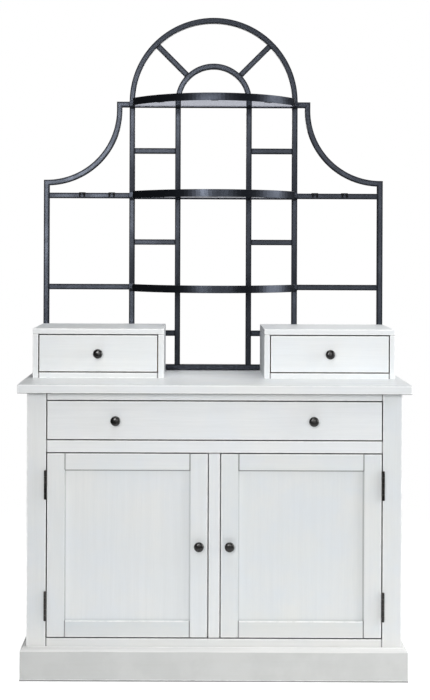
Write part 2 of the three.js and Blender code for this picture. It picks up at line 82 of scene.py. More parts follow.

# How much of the grey wash is left on a board, partly the board's own tone and partly painted shade that
# follows how light falls across the front, heaviest on the low rails, and how much glaze its edges hold
USUAL_WASH = 0.5
BOARD_WASH_AND_SHADE = {
    "worktop": 0.48, "plinth": 0.3, "front_post_left": 0.54, "front_post_right": 0.62, "wide_drawer": 0.4,
    "left_door_bottom_rail": 0.8, "right_door_bottom_rail": 0.82, "left_door": 0.54, "right_door": 0.64,
    "left_box": 0.46, "right_box": 0.44, "left_small": 0.48, "right_small": 0.46,
    "bottom_rail": 0.72, "drawer_rail": 0.38,
}
EDGE_GLAZE = 0.22
BEVEL_GLAZE = 0.08
# Glaze and painted shade along the door panels' borders, deepest under the top rail
PANEL_GLAZE_AND_SHADE = {"top": 0.95, "bottom": 0.12, "outer": 0.45, "inner": 0.26}

# Drawers
WIDE_WALL = 0.012
SMALL_WALL = 0.01
DRAWER_BOTTOM = 0.006
DRAWER_BOTTOM_LIFT = 0.009
BOX_BACK = 0.012
PIN_PITCH = 0.024
PIN_NARROW_SHARE = 0.22
PIN_WIDE_SHARE = 0.42
PIN_PROUD = 0.00012

# Hinges
KNUCKLES = 5
BARREL_RADIUS = 0.0045
LEAF_DEPTH = 0.017
LEAF_THICKNESS = 0.0012
KNUCKLE_GAP = 0.0003
FRONT_GAP = 0.003
TIP_LENGTH = 0.0012
HINGE_LEVELS = ("lower", "upper")

# Rack
TUBE = 0.019
INNER_HOOP_WIDTH = 0.265
SPOKE_ANGLE = math.radians(45)
SPOKE_GAP = 0.0008
LOW_RUNG_SHARE = 0.557
RUNG_SHARE = 0.508
STUB_REACH = 0.044
SHOULDER_RISE = 0.054
CLIP_SHARES = (0.22, 0.59)
CLIP_WIDTH = 0.022
CLIP_THICKNESS = 0.0016
CLIP_BACK_SHARE = 0.6
CLIP_FRONT_SHARE = 0.36
CLIP_SCREW_SHARE = 0.2
PRONG_PLACE_SHARE = 0.7
PRONG_WIDTH_SHARE = 0.3
PRONG_TOP_SHARE = 0.3
PRONG_FOOT_SHARE = 0.74
JOINT_SHADE = 0.0018
# How far the painted shade under each shelf band reaches up into the band and down the hoops below it
SHELF_SHADE_TOP = 0.004
SHELF_SHADE_REACH = 0.003
FOOT_SHADE = 0.8
CROSS_SHADE = 0.27

# Shelves
BAND_HEIGHT = 0.025
BAND_THICKNESS = 0.003
SHELF_REACH = 0.21
SHELF_ARM = 0.073
REAR_BAR = 0.015
REST_LENGTH = 0.024
REST_WIDTH = 0.012
REST_SPREAD_SHARE = 0.6
GLASS_GAP = 0.0005

# Screws: head radius and height, slot width and depth, and the seed of their turns
SCREW_MEASURES = ("Head Radius", "Head Height", "Slot Width", "Slot Depth", "Seed")
SCREWS = {
    "leaf": (0.0032, 0.00012, 0.0007, 0.0001, 3),
    "lug": (0.0036, 0.0018, 0.0008, 0.0008, 5),
    "clip": (0.0022, 0.0012, 0.0005, 0.0005, 7),
    "panel": (0.0035, 0.00004, 0.0005, 0.00003, 7),
}
LEAF_SCREW_SHARES = (0.14, 0.5, 0.86)
PANEL_PIN_INSET = 0.018
PANEL_PINS_ACROSS = 9
PANEL_PINS_UP = 7

# Fineness of rounded forms
ARC_STEPS = 48
BEND_STEPS = 2
KNOB_SIDES = 48
KNOB_STEPS = 8
CROWN_STEPS = 14
BARREL_SIDES = 28
SMOOTH_ANGLE = math.radians(38)
# Share of a board's edge that is painted dark as shade where it faces a gap
GAP_SHADE_SHARE = 0.35

# Lights: name, place, what they point at and size
LIGHTS = (
    ("front", (0.0, -3.0, 2.25), (0, 0, 1.3), (0.8, 0.25)),
    ("strip", (-0.75, -3.1, 1.65), (-0.2, 0, 1.4), (0.55, 1.0)),
    ("slim", (0.9, -3.1, 1.5), (0.2, 0, 1.2), (0.5, 0.9)),
    ("low", (0.4, -3.6, 0.8), (0, 0, 0.9), (1.6, 1.0)),
    ("side", (2.6, -0.6, 1.4), (0, 0, 1.1), (1.2, 2.0)),
    ("top", (0, -0.6, 3.4), (0, 0, 1.0), (2.0, 2.0)),
    ("back", (0.6, 1.7, 2.4), (0.2, 0, 1.2), (2.4, 1.4)),
)

# Floor and camera, with the picture's size and the pixel that the camera faces
FLOOR_HALF = 3.0
FLOOR_DROP = 0.0005
FLOOR_FADE = (0.9, 2.2)
FLOOR_GLOW = 0.75
PICTURE_SIZE = (430, 700)
PICTURE_AXIS = (194.8, 248.4)
CAMERA_PLACE = (-0.0635, -3.610, 1.335)
CAMERA_ROLL = -0.0038

FORWARD = (0, -1, 0)
BACKWARD = (0, 1, 0)
SIDES = (("left", -1), ("right", 1))
LEVELS = ("lower", "middle", "upper")


def colour_property(name, description, default):
    return bpy.props.FloatVectorProperty(
        name=name, description=description, default=default, subtype="COLOR", size=4, min=0, max=1,
    )


def length_property(name, description, default):
    return bpy.props.FloatProperty(
        name=name, description=description, default=default, min=0, subtype="DISTANCE", unit="LENGTH",
    )


def share_property(name, description, default):
    return bpy.props.FloatProperty(
        name=name, description=description, default=default, min=0, max=1, subtype="FACTOR",
    )


def power_property(name, description, default):
    return bpy.props.FloatProperty(name=name, description=description, default=default, min=0, unit="POWER")


class HutchPaint(bpy.types.PropertyGroup):
    """Brushed white paint over wood"""

    colour: colour_property("Paint", "Colour of the clean top coat", (0.925, 0.935, 0.945, 1))
    wash: colour_property("Wash", "Grey-green wash over the sideboard", (0.635, 0.675, 0.68, 1))
    cool: colour_property("Cool Patch", "Bluish tone of thin patches", (0.605, 0.662, 0.71, 1))
    warm: colour_property("Warm Patch", "Warm tone of thick patches", (0.705, 0.705, 0.66, 1))
    foot: colour_property("Warm Foot", "Warm tone of the paint low down", (0.79, 0.782, 0.755, 1))
    # Grey paint near the floor: scuffs and painted shade
    scuffed_and_shaded: colour_property("Scuffed And Shaded Foot", "Grey of the paint near the floor", (0.57, 0.578, 0.565, 1))
    streak: colour_property("Streak", "Colour of the brush streaks", (0.64, 0.66, 0.665, 1))
    # The glaze colour also paints shade in gaps, at panel borders and under the worktop
    glaze: colour_property("Glaze", "Grey glaze left in joints and gaps", (0.10, 0.102, 0.10, 1))
    # Pale paint along rubbed edges, partly a painted highlight
    rubbed: colour_property("Rubbed Edge", "Pale colour of rubbed edges", (0.97, 0.975, 0.97, 1))
    roughness: share_property("Roughness", "Roughness of the top coat", 0.36)
    edge: length_property("Edge Radius", "Radius of the boards' edges", 0.0014)
    worktop_edge: length_property("Worktop Edge", "Radius of the worktop's edges", 0.0022)
    rim: length_property("Rubbed Width", "Width of the rubbed border of each board", 0.0035)


class HutchWood(bpy.types.PropertyGroup):
    """Clear-lacquered pale wood inside"""

    light: colour_property("Early Wood", "Pale part of the grain", (0.70, 0.56, 0.39, 1))
    dark: colour_property("Late Wood", "Dark part of the grain", (0.52, 0.375, 0.225, 1))
    end: colour_property("End Grain", "Colour of cut ends", (0.36, 0.24, 0.135, 1))
    edge: length_property("Edge Radius", "Radius of the boards' edges", 0.0009)


class HutchMetal(bpy.types.PropertyGroup):
    """Charcoal steel of the rack and dark bronze of the fittings"""

    steel: colour_property("Steel", "Charcoal coat of the rack", (0.038, 0.043, 0.0545, 1))
    # Darker steel painted on the tubes' rounded edges, joints and shaded zones as painted shade
    steel_edge_shade: colour_property("Steel Edge", "Thicker coat round the edges", (0.0145, 0.0165, 0.0215, 1))
    bronze: colour_property("Bronze", "Dark patina of knobs and hinges", (0.012, 0.0115, 0.011, 1))
    bronze_rubbed: colour_property("Rubbed Bronze", "Brown metal under the patina", (0.10, 0.062, 0.034, 1))
    tube_corner: length_property("Tube Corner", "Corner radius of the square tube", 0.002)
    tube_border: length_property("Tube Border", "Width of the darker border beside each corner", 0.004)
    band_corner: length_property("Band Corner", "Edge radius of the shelf bands", 0.0008)


class HutchGlass(bpy.types.PropertyGroup):
    """Glass of the shelves"""

    tint: colour_property("Tint", "Colour of the glass", (0.53, 0.555, 0.66, 1))
    edge_tint: colour_property("Edge Tint", "Colour seen in the cut edge", (0.42, 0.60, 0.54, 1))
    arris: length_property("Arris", "Width of the ground arris", 0.0006)


class HutchStage(bpy.types.PropertyGroup):
    """Camera, lights and floor"""

    floor: colour_property("Floor", "Colour of the floor", (0.93, 0.93, 0.935, 1))
    lens: bpy.props.FloatProperty(
        name="Lens", description="Focal length of the camera", default=56.47, min=1,
        subtype="DISTANCE_CAMERA",
    )
    front: power_property("Front Light", "Power of the light high in front", 12.2)
    strip: power_property("Left Strip", "Power of the upright strip at the front left", 33.5)
    slim: power_property("Right Strip", "Power of the upright strip at the front right", 7.8)
    low: power_property("Low Light", "Power of the wide low light in front", 6.8)
    side: power_property("Side Light", "Power of the light at the right side", 55.0)
    top: power_property("Top Light", "Power of the light overhead", 31.5)
    back: power_property("Back Light", "Power of the light behind and above", 29.0)
    air: share_property("Air", "Brightness of the air around the hutch", 0.10)
    mirrored: share_property("Mirrored Air", "Brightness of the air in sharp reflections", 0.42)


# Gathering a piece


class Form:
    """Corners, faces and surface masks of one piece, gathered before its mesh is made."""

    def __init__(self, wash=USUAL_WASH):
        self.corners = []
        self.faces = []
        self.finishes = []
        self.masks = {"rim": [], "glaze": [], "plank": []}
        self.wash = wash
        self.planks = 0

    def add(self, points, faces, rim=None, glaze=None, finish=0):
        """Adds one closed body, with its faces turned outwards."""
        if turned_inside_out(points, faces):
            faces = [face[::-1] for face in faces]
        start, count = len(self.corners), len(points)
        golden = 0.618034
        self.planks += 1
        self.corners.extend(tuple(point) for point in points)
        self.faces.extend(tuple(start + corner for corner in face) for face in faces)
        self.finishes.extend([finish] * len(faces))
        self.masks["rim"].extend(rim or [0.0] * count)
        self.masks["glaze"].extend(glaze or [0.0] * count)
        self.masks["plank"].extend([self.planks * golden % 1] * count)

    def reglaze_and_shade(self, gathered):
        """Gives corners the mask of glaze and painted shade that a function of their place returns, unless
        that is None, unrubbed.
        """
        for index, place in enumerate(self.corners):
            glaze = gathered(*place)
            if glaze is not None:
                self.masks["glaze"][index], self.masks["rim"][index] = glaze, 0.0


def turned_inside_out(points, faces):
    """True when the faces enclose a negative volume."""
    origin = Vector(points[0])
    spots = [Vector(point) - origin for point in points]
    volume = 0.0
    for face in faces:
        for second, third in zip(face[1:], face[2:]):
            volume += spots[face[0]].dot(spots[second].cross(spots[third]))
    return volume < 0


def linked(name, data):
    made = bpy.data.objects.new(name, data)
    bpy.context.scene.collection.objects.link(made)
    return made


def dress(piece, body, nodes=()):
    """Keeps flat faces flat beside rounded edges, puts a piece on its body and hides the parts that it stands
    for.
    """
    piece.data.polygons.foreach_set("use_smooth", [True] * len(piece.data.polygons))
    piece.data.set_sharp_from_angle(angle=SMOOTH_ANGLE)
    piece.modifiers.new("even_normals", "WEIGHTED_NORMAL").keep_sharp = True
    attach(piece, body)
    if nodes:
        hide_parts(*nodes)


def make_piece(name, form, materials, body, nodes=(), seed=0.0):
    """Makes a gathered form into a piece, with its masks as attributes."""
    mesh = bpy.data.meshes.new(name)
    mesh.from_pydata(form.corners, [], form.faces)
    masks = {**form.masks, "wash": [form.wash] * len(form.corners)}
    masks["plank"] = [value + seed for value in form.masks["plank"]]
    for mask, values in masks.items():
        mesh.attributes.new(mask, "FLOAT", "POINT").data.foreach_set("value", values)
    for material in materials:
        mesh.materials.append(material)
    mesh.polygons.foreach_set("material_index", form.finishes)
    mesh.validate()
    dress(linked(name, mesh), body, nodes)


# Shapes


def line_offsets(length, ease, rims):
    """Distances of a board's grid lines from one end: round the edge, then the border's inner lines."""
    turns = [math.pi / 4 * (BEND_STEPS - step) / BEND_STEPS for step in range(BEND_STEPS + 1)]
    bends = [ease * (1 - math.tan(turn)) for turn in turns]
    half_free = length / 2 - ease
    inner = [min(rim, half_free * 0.6 * (index + 1) / len(rims)) for index, rim in enumerate(rims)]
    return bends + [ease + rim for rim in inner]


def add_board(form, low, high, ease, rim, glazed=(), finish=0, gaps=(), clean=()):
    """Adds a board with rounded edges and a rim mask along its borders.

    Glazed ends meet other boards in a joint. Gap ends face a gap, and the edge beside it is painted dark as
    the gap's shade.
    Clean ends aren't rubbed. Several rims, narrow first, draw several inner lines.
    """
    widths = rim if isinstance(rim, tuple) else (rim,)
    places = []
    for axis in range(3):
        offsets = line_offsets(high[axis] - low[axis], ease, widths)
        near = [low[axis] + offset for offset in offsets]
        far = [high[axis] - offset for offset in reversed(offsets)]
        places.append(near + far)
    count = len(places[0])
    inner_low = [low[axis] + ease for axis in range(3)]
    inner_high = [high[axis] - ease for axis in range(3)]
    points, faces, rims, glazes_and_shades, known = [], [], [], [], {}

    def corner(indices, axis, side):
        place = [places[a][indices[a]] for a in range(3)]
        place[axis] = high[axis] if side > 0 else low[axis]
        inner = [min(max(place[a], inner_low[a]), inner_high[a]) for a in range(3)]
        outward = Vector(place) - Vector(inner)
        point = Vector(inner) + outward.normalized() * ease
        key = tuple(round(value, 7) for value in point)
        if key not in known:

            def near(ends, reach):
                return any(near_end(point, low, high, reach, end) for end in ends)

            known[key] = len(points)
            points.append(point)
            depths = [min(indices[a], count - 1 - indices[a]) for a in range(3) if a != axis]
            is_rubbed = min(depths) <= BEND_STEPS and not near(clean, ease * 1.01)
            rims.append(1.0 if is_rubbed else 0.0)
            glazes_and_shades.append(1.0 if near(glazed, ease) or near(gaps, ease * GAP_SHADE_SHARE) else 0.0)
        return known[key]

    for axis in range(3):
        across, up = (axis + 1) % 3, (axis + 2) % 3
        for side in (-1, 1):
            for i in range(count - 1):
                for j in range(count - 1):
                    ring = []
                    for di, dj in ((0, 0), (1, 0), (1, 1), (0, 1)):
                        indices = [0, 0, 0]
                        indices[across], indices[up] = i + di, j + dj
                        ring.append(corner(indices, axis, side))
                    faces.append(ring if side > 0 else ring[::-1])
    form.add(points, faces, rims, glazes_and_shades, finish)


def near_end(point, low, high, reach, end):
    """True within a reach of a board's end, such as "+x"."""
    axis = "xyz".index(end[1])
    distance = high[axis] - point[axis] if end[0] == "+" else point[axis] - low[axis]
    slack = 1e-6
    return distance <= reach + slack


def bridged(size, count):
    """Faces that join rings of corners one after another, and close the first and last."""
    faces = []
    for here in range(0, (count - 1) * size, size):
        for k in range(size):
            after = (k + 1) % size
            faces.append((here + k, here + after, here + size + after, here + size + k))
    last = (count - 1) * size
    return faces + [tuple(range(size))[::-1], tuple(range(last, last + size))]


def mitre(before, after):
    """Way in which the left side of a flat path moves at a bend, for each unit of offset."""
    first, second = (Vector((-way.y, way.x)) for way in (before.normalized(), after.normalized()))
    middle = (first + second).normalized()
    return middle / middle.dot(first)


def tube_section(size, radius, border):
    """Outline of a square tube, anticlockwise, with its rounded corners and their borders marked as rim,
    where the steel is painted darker as shade.
    """
    flat = size / 2 - radius
    steps = BEND_STEPS * 2
    quarter = []
    for step in range(steps + 1):
        angle = math.pi / 2 * step / steps
        quarter.append((flat + radius * math.cos(angle), flat + radius * math.sin(angle), 1.0))
    quarter += [(flat - border, size / 2, 0.0), (border - flat, size / 2, 0.0)]
    outline = []
    for turn in range(4):
        cos, sin = math.cos(turn * math.pi / 2), math.sin(turn * math.pi / 2)
        outline += [(x * cos - y * sin, x * sin + y * cos, rim) for x, y, rim in quarter]
    return outline


def front_plane(across, up, depth):
    return (across, depth, up)


def floor_plane(across, back, height):
    return (across, back, height)


def path_length(path):
    return sum(math.dist(first, second) for first, second in zip(path, path[1:]))


def shaded(path, zones):
    """Adds spots to a straight-ended path so that the zones along it can be shaded, and gives their shade.

    A zone is a start, an end and the end of its fade, as distances along the path from its first spot.
    """
    spots = [Vector(spot) for spot in path]
    reached = [0.0]
    for before, after in zip(spots, spots[1:]):
        reached.append(reached[-1] + (after - before).length)
    marks = {distance: 0.0 for distance in reached}
    for start, end, fade in zones:
        for distance, value in ((start, 1.0), (end, 1.0), (fade, 0.0)):
            if 0 <= distance <= reached[-1]:
                marks[distance] = max(value, marks.get(distance, 0.0))
    result, shades = [], []
    for distance in sorted(marks):
        if result and distance - at < TUBE / 200:
            shades[-1] = max(shades[-1], marks[distance])
            continue
        at = distance
        leg = max(index for index, length in enumerate(reached[:-1]) if length <= distance)
        way = (spots[leg + 1] - spots[leg]).normalized()
        result.append(spots[leg] + way * (distance - reached[leg]))
        shades.append(marks[distance])
    return result, shades


def jointed(path, least=0.0):
    """Shades both ends of a bar where it is welded to another, and all of it at least a little."""
    length = path_length(path)
    near, far = JOINT_SHADE, JOINT_SHADE * 2
    path, shades = shaded(path, ((0.0, near, far), (length, length - near, length - far)))
    return path, [max(shade, least) for shade in shades]


def add_sweep(form, path, section, place, depth=0.0, shades=None):
    """Adds a bar along a flat path, mitred at its corners and closed at both ends."""
    points, rims = [], []
    spots = [Vector(spot) for spot in path]
    ways = [after - before for before, after in zip(spots, spots[1:])]
    for index, (spot, before, after) in enumerate(zip(spots, ways[:1] + ways, ways + ways[-1:])):
        bend = mitre(before, after)
        for u, v, rim in section:
            offset = spot + bend * u
            points.append(place(offset.x, offset.y, depth + v))
            rims.append(max(rim, shades[index]) if shades else rim)
    form.add(points, bridged(len(section), len(spots)), rims)


def add_tube(form, path, shades):
    """Adds a square tube of the rack in the rack's plane."""
    metal = bpy.context.scene.hutch_metal
    section = tube_section(TUBE, metal.tube_corner, metal.tube_border)
    low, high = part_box("rack_outer_hoop")
    add_sweep(form, path, section, front_plane, (low.y + high.y) / 2, shades)


def arc(centre, radius, start, end, steps=ARC_STEPS):
    angles = [start + (end - start) * step / steps for step in range(steps + 1)]
    return [(centre[0] + radius * math.cos(angle), centre[1] + radius * math.sin(angle)) for angle in angles]


def add_turned(form, profile, origin, sides, place):
    """Adds a turned shape. The profile is a list of (radius, distance along the axis, rim)."""
    points, faces, rims, starts = [], [], [], []
    for radius, along, rim in profile:
        starts.append(len(points))
        for side in range(sides if radius else 1):
            angle = math.tau * side / sides
            points.append(place(origin, radius * math.cos(angle), radius * math.sin(angle), along))
            rims.append(rim)
    for ring in range(len(profile) - 1):
        here, there = starts[ring], starts[ring + 1]
        for side in range(sides):
            after = (side + 1) % sides
            if profile[ring][0] == 0:
                faces.append((here, there + after, there + side))
            elif profile[ring + 1][0] == 0:
                faces.append((here + side, here + after, there))
            else:
                faces.append((here + side, here + after, there + after, there + side))
    form.add(points, faces, rims)


def towards_front(origin, across, up, along):
    return (origin[0] + across, origin[1] - along, origin[2] + up)


def upwards(origin, across, back, along):
    return (origin[0] + across, origin[1] + back, origin[2] + along)


def add_plate(form, outline, low, high, ease):
    """Adds a flat plate with its outline anticlockwise from above and ground arrises."""
    spots = [Vector(spot) for spot in outline]
    size = len(spots)
    inner = []
    for index, spot in enumerate(spots):
        inner.append(spot + mitre(spot - spots[index - 1], spots[(index + 1) % size] - spot) * ease)
    rings = ((inner, low, 0.0), (spots, low + ease, 1.0), (spots, high - ease, 1.0), (inner, high, 0.0))
    points, rims = [], []
    for ring, height, rim in rings:
        points += [(spot.x, spot.y, height) for spot in ring]
        rims += [rim] * size
    form.add(points, bridged(size, len(rings)), rims)


# Building node trees


def feed(tree, node, sockets):
    """Links or sets the inputs of a node, which are given by name or number."""
    for key, value in sockets.items():
        socket = node.inputs[key]
        if isinstance(value, bpy.types.NodeSocket):
            tree.links.new(value, socket)
        else:
            socket.default_value = value


def add_node(tree, kind, settings=None, at=None, **sockets):
    """Adds a node. Sockets are given by name, with _ for a space, or by number in the dict called at."""
    node = tree.nodes.new(kind)
    for name, value in (settings or {}).items():
        setattr(node, name, value)
    feed(tree, node, {name.replace("_", " "): value for name, value in sockets.items()})
    feed(tree, node, at or {})
    return node


def node_group(name, kind, inputs, outputs):
    """Builds a node group once, from a function of its tree and inputs that returns its outputs.

    An input is given by its default, or in words by its kind where it has none.
    """
    kinds = {float: "Float", int: "Int", tuple: "Vector"}

    def wrap(build):
        def fetch():
            if name in bpy.data.node_groups:
                return bpy.data.node_groups[name]
            tree = bpy.data.node_groups.new(name, kind)
            for label, default in inputs.items():
                word = kinds.get(type(default), default)
                made = tree.interface.new_socket(label, in_out="INPUT", socket_type=f"NodeSocket{word}")
                if word != default:
                    made.default_value = default
            for label, word in outputs.items():
                tree.interface.new_socket(label, in_out="OUTPUT", socket_type=f"NodeSocket{word}")
            given = tree.nodes.new("NodeGroupInput").outputs
            result = tree.nodes.new("NodeGroupOutput")
            feed(tree, result, dict(zip(outputs, build(tree, given))))
            return tree

        return fetch

    return wrap


def math_node(tree, operation, first, second=None, third=None):
    given = {0: first, 1: second, 2: third}
    at = {key: value for key, value in given.items() if value is not None}
    return add_node(tree, "ShaderNodeMath", {"operation": operation}, at).outputs[0]


def plus(tree, first, second):
    return math_node(tree, "ADD", first, second)


def minus(tree, first, second):
    return math_node(tree, "SUBTRACT", first, second)


def times(tree, first, second):
    return math_node(tree, "MULTIPLY", first, second)


def vector_node(tree, operation, first, second=(0.0, 0.0, 0.0)):
    return add_node(tree, "ShaderNodeVectorMath", {"operation": operation}, {0: first, 1: second}).outputs[0]


def parts_of(tree, vector):
    return add_node(tree, "ShaderNodeSeparateXYZ", at={0: vector}).outputs


def mixed(tree, share, first, second):
    """Mixes two colours by a share from 0 to 1."""
    return add_node(tree, "ShaderNodeMix", {"data_type": "RGBA"}, {0: share, 6: first, 7: second}).outputs[2]


def ranged(tree, value, low, high, to_low, to_high):
    settings = {"interpolation_type": "SMOOTHSTEP", "clamp": True}
    return add_node(
        tree, "ShaderNodeMapRange", settings,
        Value=value, From_Min=low, From_Max=high, To_Min=to_low, To_Max=to_high,
    ).outputs[0]


def noise(tree, vector, scale, detail=3.0, roughness=0.5):
    return add_node(
        tree, "ShaderNodeTexNoise", Vector=vector, Scale=scale, Detail=detail, Roughness=roughness,
    ).outputs["Fac"]


# Effects that several finishes share


@node_group(
    "Brushed Grain", "ShaderNodeTree",
    {"Vector": "Vector", "Stretch": (300.0, 300.0, 12.0), "Plank": 0.0},
    {"Streak": "Float", "Relief": "Float"},
)
def brushed_grain(tree, given):
    """Streaks that run along a board, from its coordinates and a stretch."""
    moved = vector_node(tree, "ADD", given["Vector"], times(tree, given["Plank"], 7.3))
    spread = vector_node(tree, "MULTIPLY", moved, given["Stretch"])
    fine = noise(tree, spread, 1.0, 4.0, 0.55)
    broad = noise(tree, vector_node(tree, "MULTIPLY", spread, (0.22, 0.22, 0.22)), 1.0, 3.0, 0.5)
    both = math_node(tree, "MULTIPLY_ADD", broad, 0.55, times(tree, fine, 0.45))
    return ranged(tree, both, 0.32, 0.68, 0, 1), fine


@node_group(
    "Clouded Wash", "ShaderNodeTree",
    {"Vector": "Vector", "Plank": 0.0},
    {"Cool": "Float", "Warm": "Float", "Foot": "Float", "Low": "Float"},
)
def clouded_wash(tree, given):
    """Large soft patches of a wash over paint, a warm tone low down, and scuffing with painted shade near the
    floor.
    """
    moved = vector_node(tree, "ADD", given["Vector"], times(tree, given["Plank"], 3.1))
    cool = noise(tree, moved, 6.0, 5.0, 0.62)
    warm = noise(tree, given["Vector"], 3.6, 5.0, 0.66)
    ragged = math_node(tree, "MULTIPLY_ADD", warm, 0.006, parts_of(tree, given["Vector"])["Z"])
    return (
        ranged(tree, cool, 0.36, 0.66, 0, 1),
        ranged(tree, warm, 0.38, 0.68, 0, 1),
        ranged(tree, ragged, SCUFF_SHADE_START, SCUFF_SHADE_END, 1, 0),
        ranged(tree, ragged, WARM_FOOT_START, WARM_FOOT_END, 1, 0),
    )


@node_group(
    "Rubbed Edge", "ShaderNodeTree", {"Vector": "Vector", "Rim": 0.0, "Amount": 0.6}, {"Mask": "Float"},
)
def rubbed_edge_and_highlight(tree, given):
    """Broken mask along the borders of a board or bar: rubbed wear, and on the paint also a painted
    highlight.
    """
    broken = ranged(tree, noise(tree, given["Vector"], 38.0, 4.0, 0.6), 0.30, 0.62, 0.35, 1)
    eased = math_node(tree, "POWER", given["Rim"], 1.6)
    return (times(tree, times(tree, eased, given["Amount"]), broken),)


@node_group(
    "Settled Dust", "ShaderNodeTree", {"Vector": "Vector", "Upward": 0.0, "Amount": 0.1}, {"Mask": "Float"},
)
def settled_dust(tree, given):
    """Thin uneven dust where a surface faces up."""
    cloud = noise(tree, given["Vector"], 26.0, 5.0, 0.65)
    facing = ranged(tree, given["Upward"], 0.55, 0.95, 0, 1)
    spread = times(tree, facing, ranged(tree, cloud, 0.35, 0.7, 0.2, 1))
    return (times(tree, spread, given["Amount"]),)


@node_group(
    "Fine Peel", "ShaderNodeTree", {"Vector": "Vector", "Scale": 900.0}, {"Tone": "Float", "Height": "Float"},
)
def fine_peel(tree, given):
    """Fine uneven skin of a sprayed or cast metal, as a tone and a height."""
    tone = noise(tree, given["Vector"], 17.0, 4.0, 0.6)
    return ranged(tree, tone, 0.35, 0.65, 0, 1), noise(tree, given["Vector"], given["Scale"], 2.0)


@node_group("Lug Weld", "ShaderNodeTree", {"Vector": "Vector"}, {"Mask": "Float"})
def lug_shade(tree, given):
    """Painted shade: a dark band along the foot of the lugs and rear bars of the shelves, standing in for the
    shadow under the bands.
    """
    parts = parts_of(tree, given["Vector"])
    heights = shelf_heights()
    pitch = heights[1] - heights[0]
    start = minus(tree, parts["Z"], heights[0] - pitch / 2)
    local = minus(tree, math_node(tree, "MODULO", start, pitch), pitch / 2)
    low = ranged(tree, local, -SHELF_SHADE_TOP, -SHELF_SHADE_TOP - JOINT_SHADE, 0, 1)
    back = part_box("rack_outer_hoop")[0].y
    rear = ranged(tree, parts["Y"], back - REAR_BAR - BAND_THICKNESS, back - REAR_BAR, 0, 1)
    return (times(tree, low, rear),)


# Finishes


def finish_named(name):
    """Makes a material once for each set of words, from a function that returns its shader's inputs."""

    def wrap(build):
        def fetch(*words):
            full_name = "_".join((name, *words))
            if full_name not in bpy.data.materials:
                material = bpy.data.materials.new(full_name)
                material.use_nodes = True
                tree = material.node_tree
                tree.nodes.clear()
                place = tree.nodes.new("ShaderNodeTexCoord").outputs["Object"]
                shader = tree.nodes.new("ShaderNodeBsdfPrincipled")
                feed(tree, shader, build(tree, place, *words))
                add_node(tree, "ShaderNodeOutputMaterial", Surface=shader.outputs[0])
            return bpy.data.materials[full_name]

        return fetch

    return wrap


def attribute(tree, name):
    settings = {"attribute_name": name, "attribute_type": "GEOMETRY"}
    return add_node(tree, "ShaderNodeAttribute", settings).outputs["Fac"]


def effect(tree, group, **sockets):
    return add_node(tree, "ShaderNodeGroup", {"node_tree": group}, **sockets).outputs


def rubbed_and_highlight_mask(tree, place, amount):
    return effect(tree, rubbed_edge_and_highlight(), Vector=place, Rim=attribute(tree, "rim"), Amount=amount)["Mask"]


def dust_mask(tree, place, amount):
    facing = tree.nodes.new("ShaderNodeNewGeometry").outputs["Normal"]
    upward = parts_of(tree, facing)["Z"]
    return effect(tree, settled_dust(), Vector=place, Upward=upward, Amount=amount)["Mask"]


def bumped(tree, height, strength, distance):
    return add_node(tree, "ShaderNodeBump", Strength=strength, Distance=distance, Height=height).outputs[0]


def stretched_along(axis, across, along):
    return tuple(along if axis == letter else across for letter in "xyz")


def scaled(colour, share):
    return tuple(value * share for value in colour[:3]) + (1,)


@finish_named("painted_wood")
def painted(tree, place, axis):
    """Brushed white paint under a thin wash, whose streaks run along one axis, holding painted shade in gaps,
    under the worktop, at panel borders, near the floor and in the wash of some boards, and a painted
    highlight on rubbed edges.
    """
    paint = bpy.context.scene.hutch_paint
    # The glaze mask holds joint glaze and painted shade
    plank, glaze = attribute(tree, "plank"), times(tree, attribute(tree, "glaze"), 0.88)
    stretch = stretched_along(axis, 330.0, 11.0)
    grain = effect(tree, brushed_grain(), Vector=place, Stretch=stretch, Plank=plank)
    patch = effect(tree, clouded_wash(), Vector=place, Plank=plank)
    cooled = mixed(tree, times(tree, patch["Cool"], 0.8), tuple(paint.wash), tuple(paint.cool))
    warmed = mixed(tree, times(tree, patch["Warm"], 0.7), cooled, tuple(paint.warm))
    # The board's wash share is partly painted shade
    washed = mixed(tree, attribute(tree, "wash"), tuple(paint.colour), warmed)
    aged = mixed(tree, times(tree, patch["Low"], 0.6), washed, tuple(paint.foot))
    foot = times(tree, patch["Foot"], ranged(tree, patch["Cool"], 0, 1, 0.82, 0.98))
    scuffed_and_shaded = mixed(tree, foot, aged, tuple(paint.scuffed_and_shaded))
    streaked = mixed(tree, times(tree, grain["Streak"], 0.22), scuffed_and_shaded, tuple(paint.streak))
    # Rubbed paint and painted highlight along the edges
    rubbed = mixed(tree, rubbed_and_highlight_mask(tree, place, 0.95), streaked, tuple(paint.rubbed))
    glazed = mixed(tree, glaze, rubbed, tuple(paint.glaze))
    return {
        "Base Color": mixed(tree, dust_mask(tree, place, 0.08), glazed, tuple(paint.cool)),
        "Roughness": math_node(tree, "MULTIPLY_ADD", grain["Streak"], 0.10, paint.roughness - 0.05),
        "Normal": bumped(tree, grain["Relief"], 0.22, 0.0004),
    }


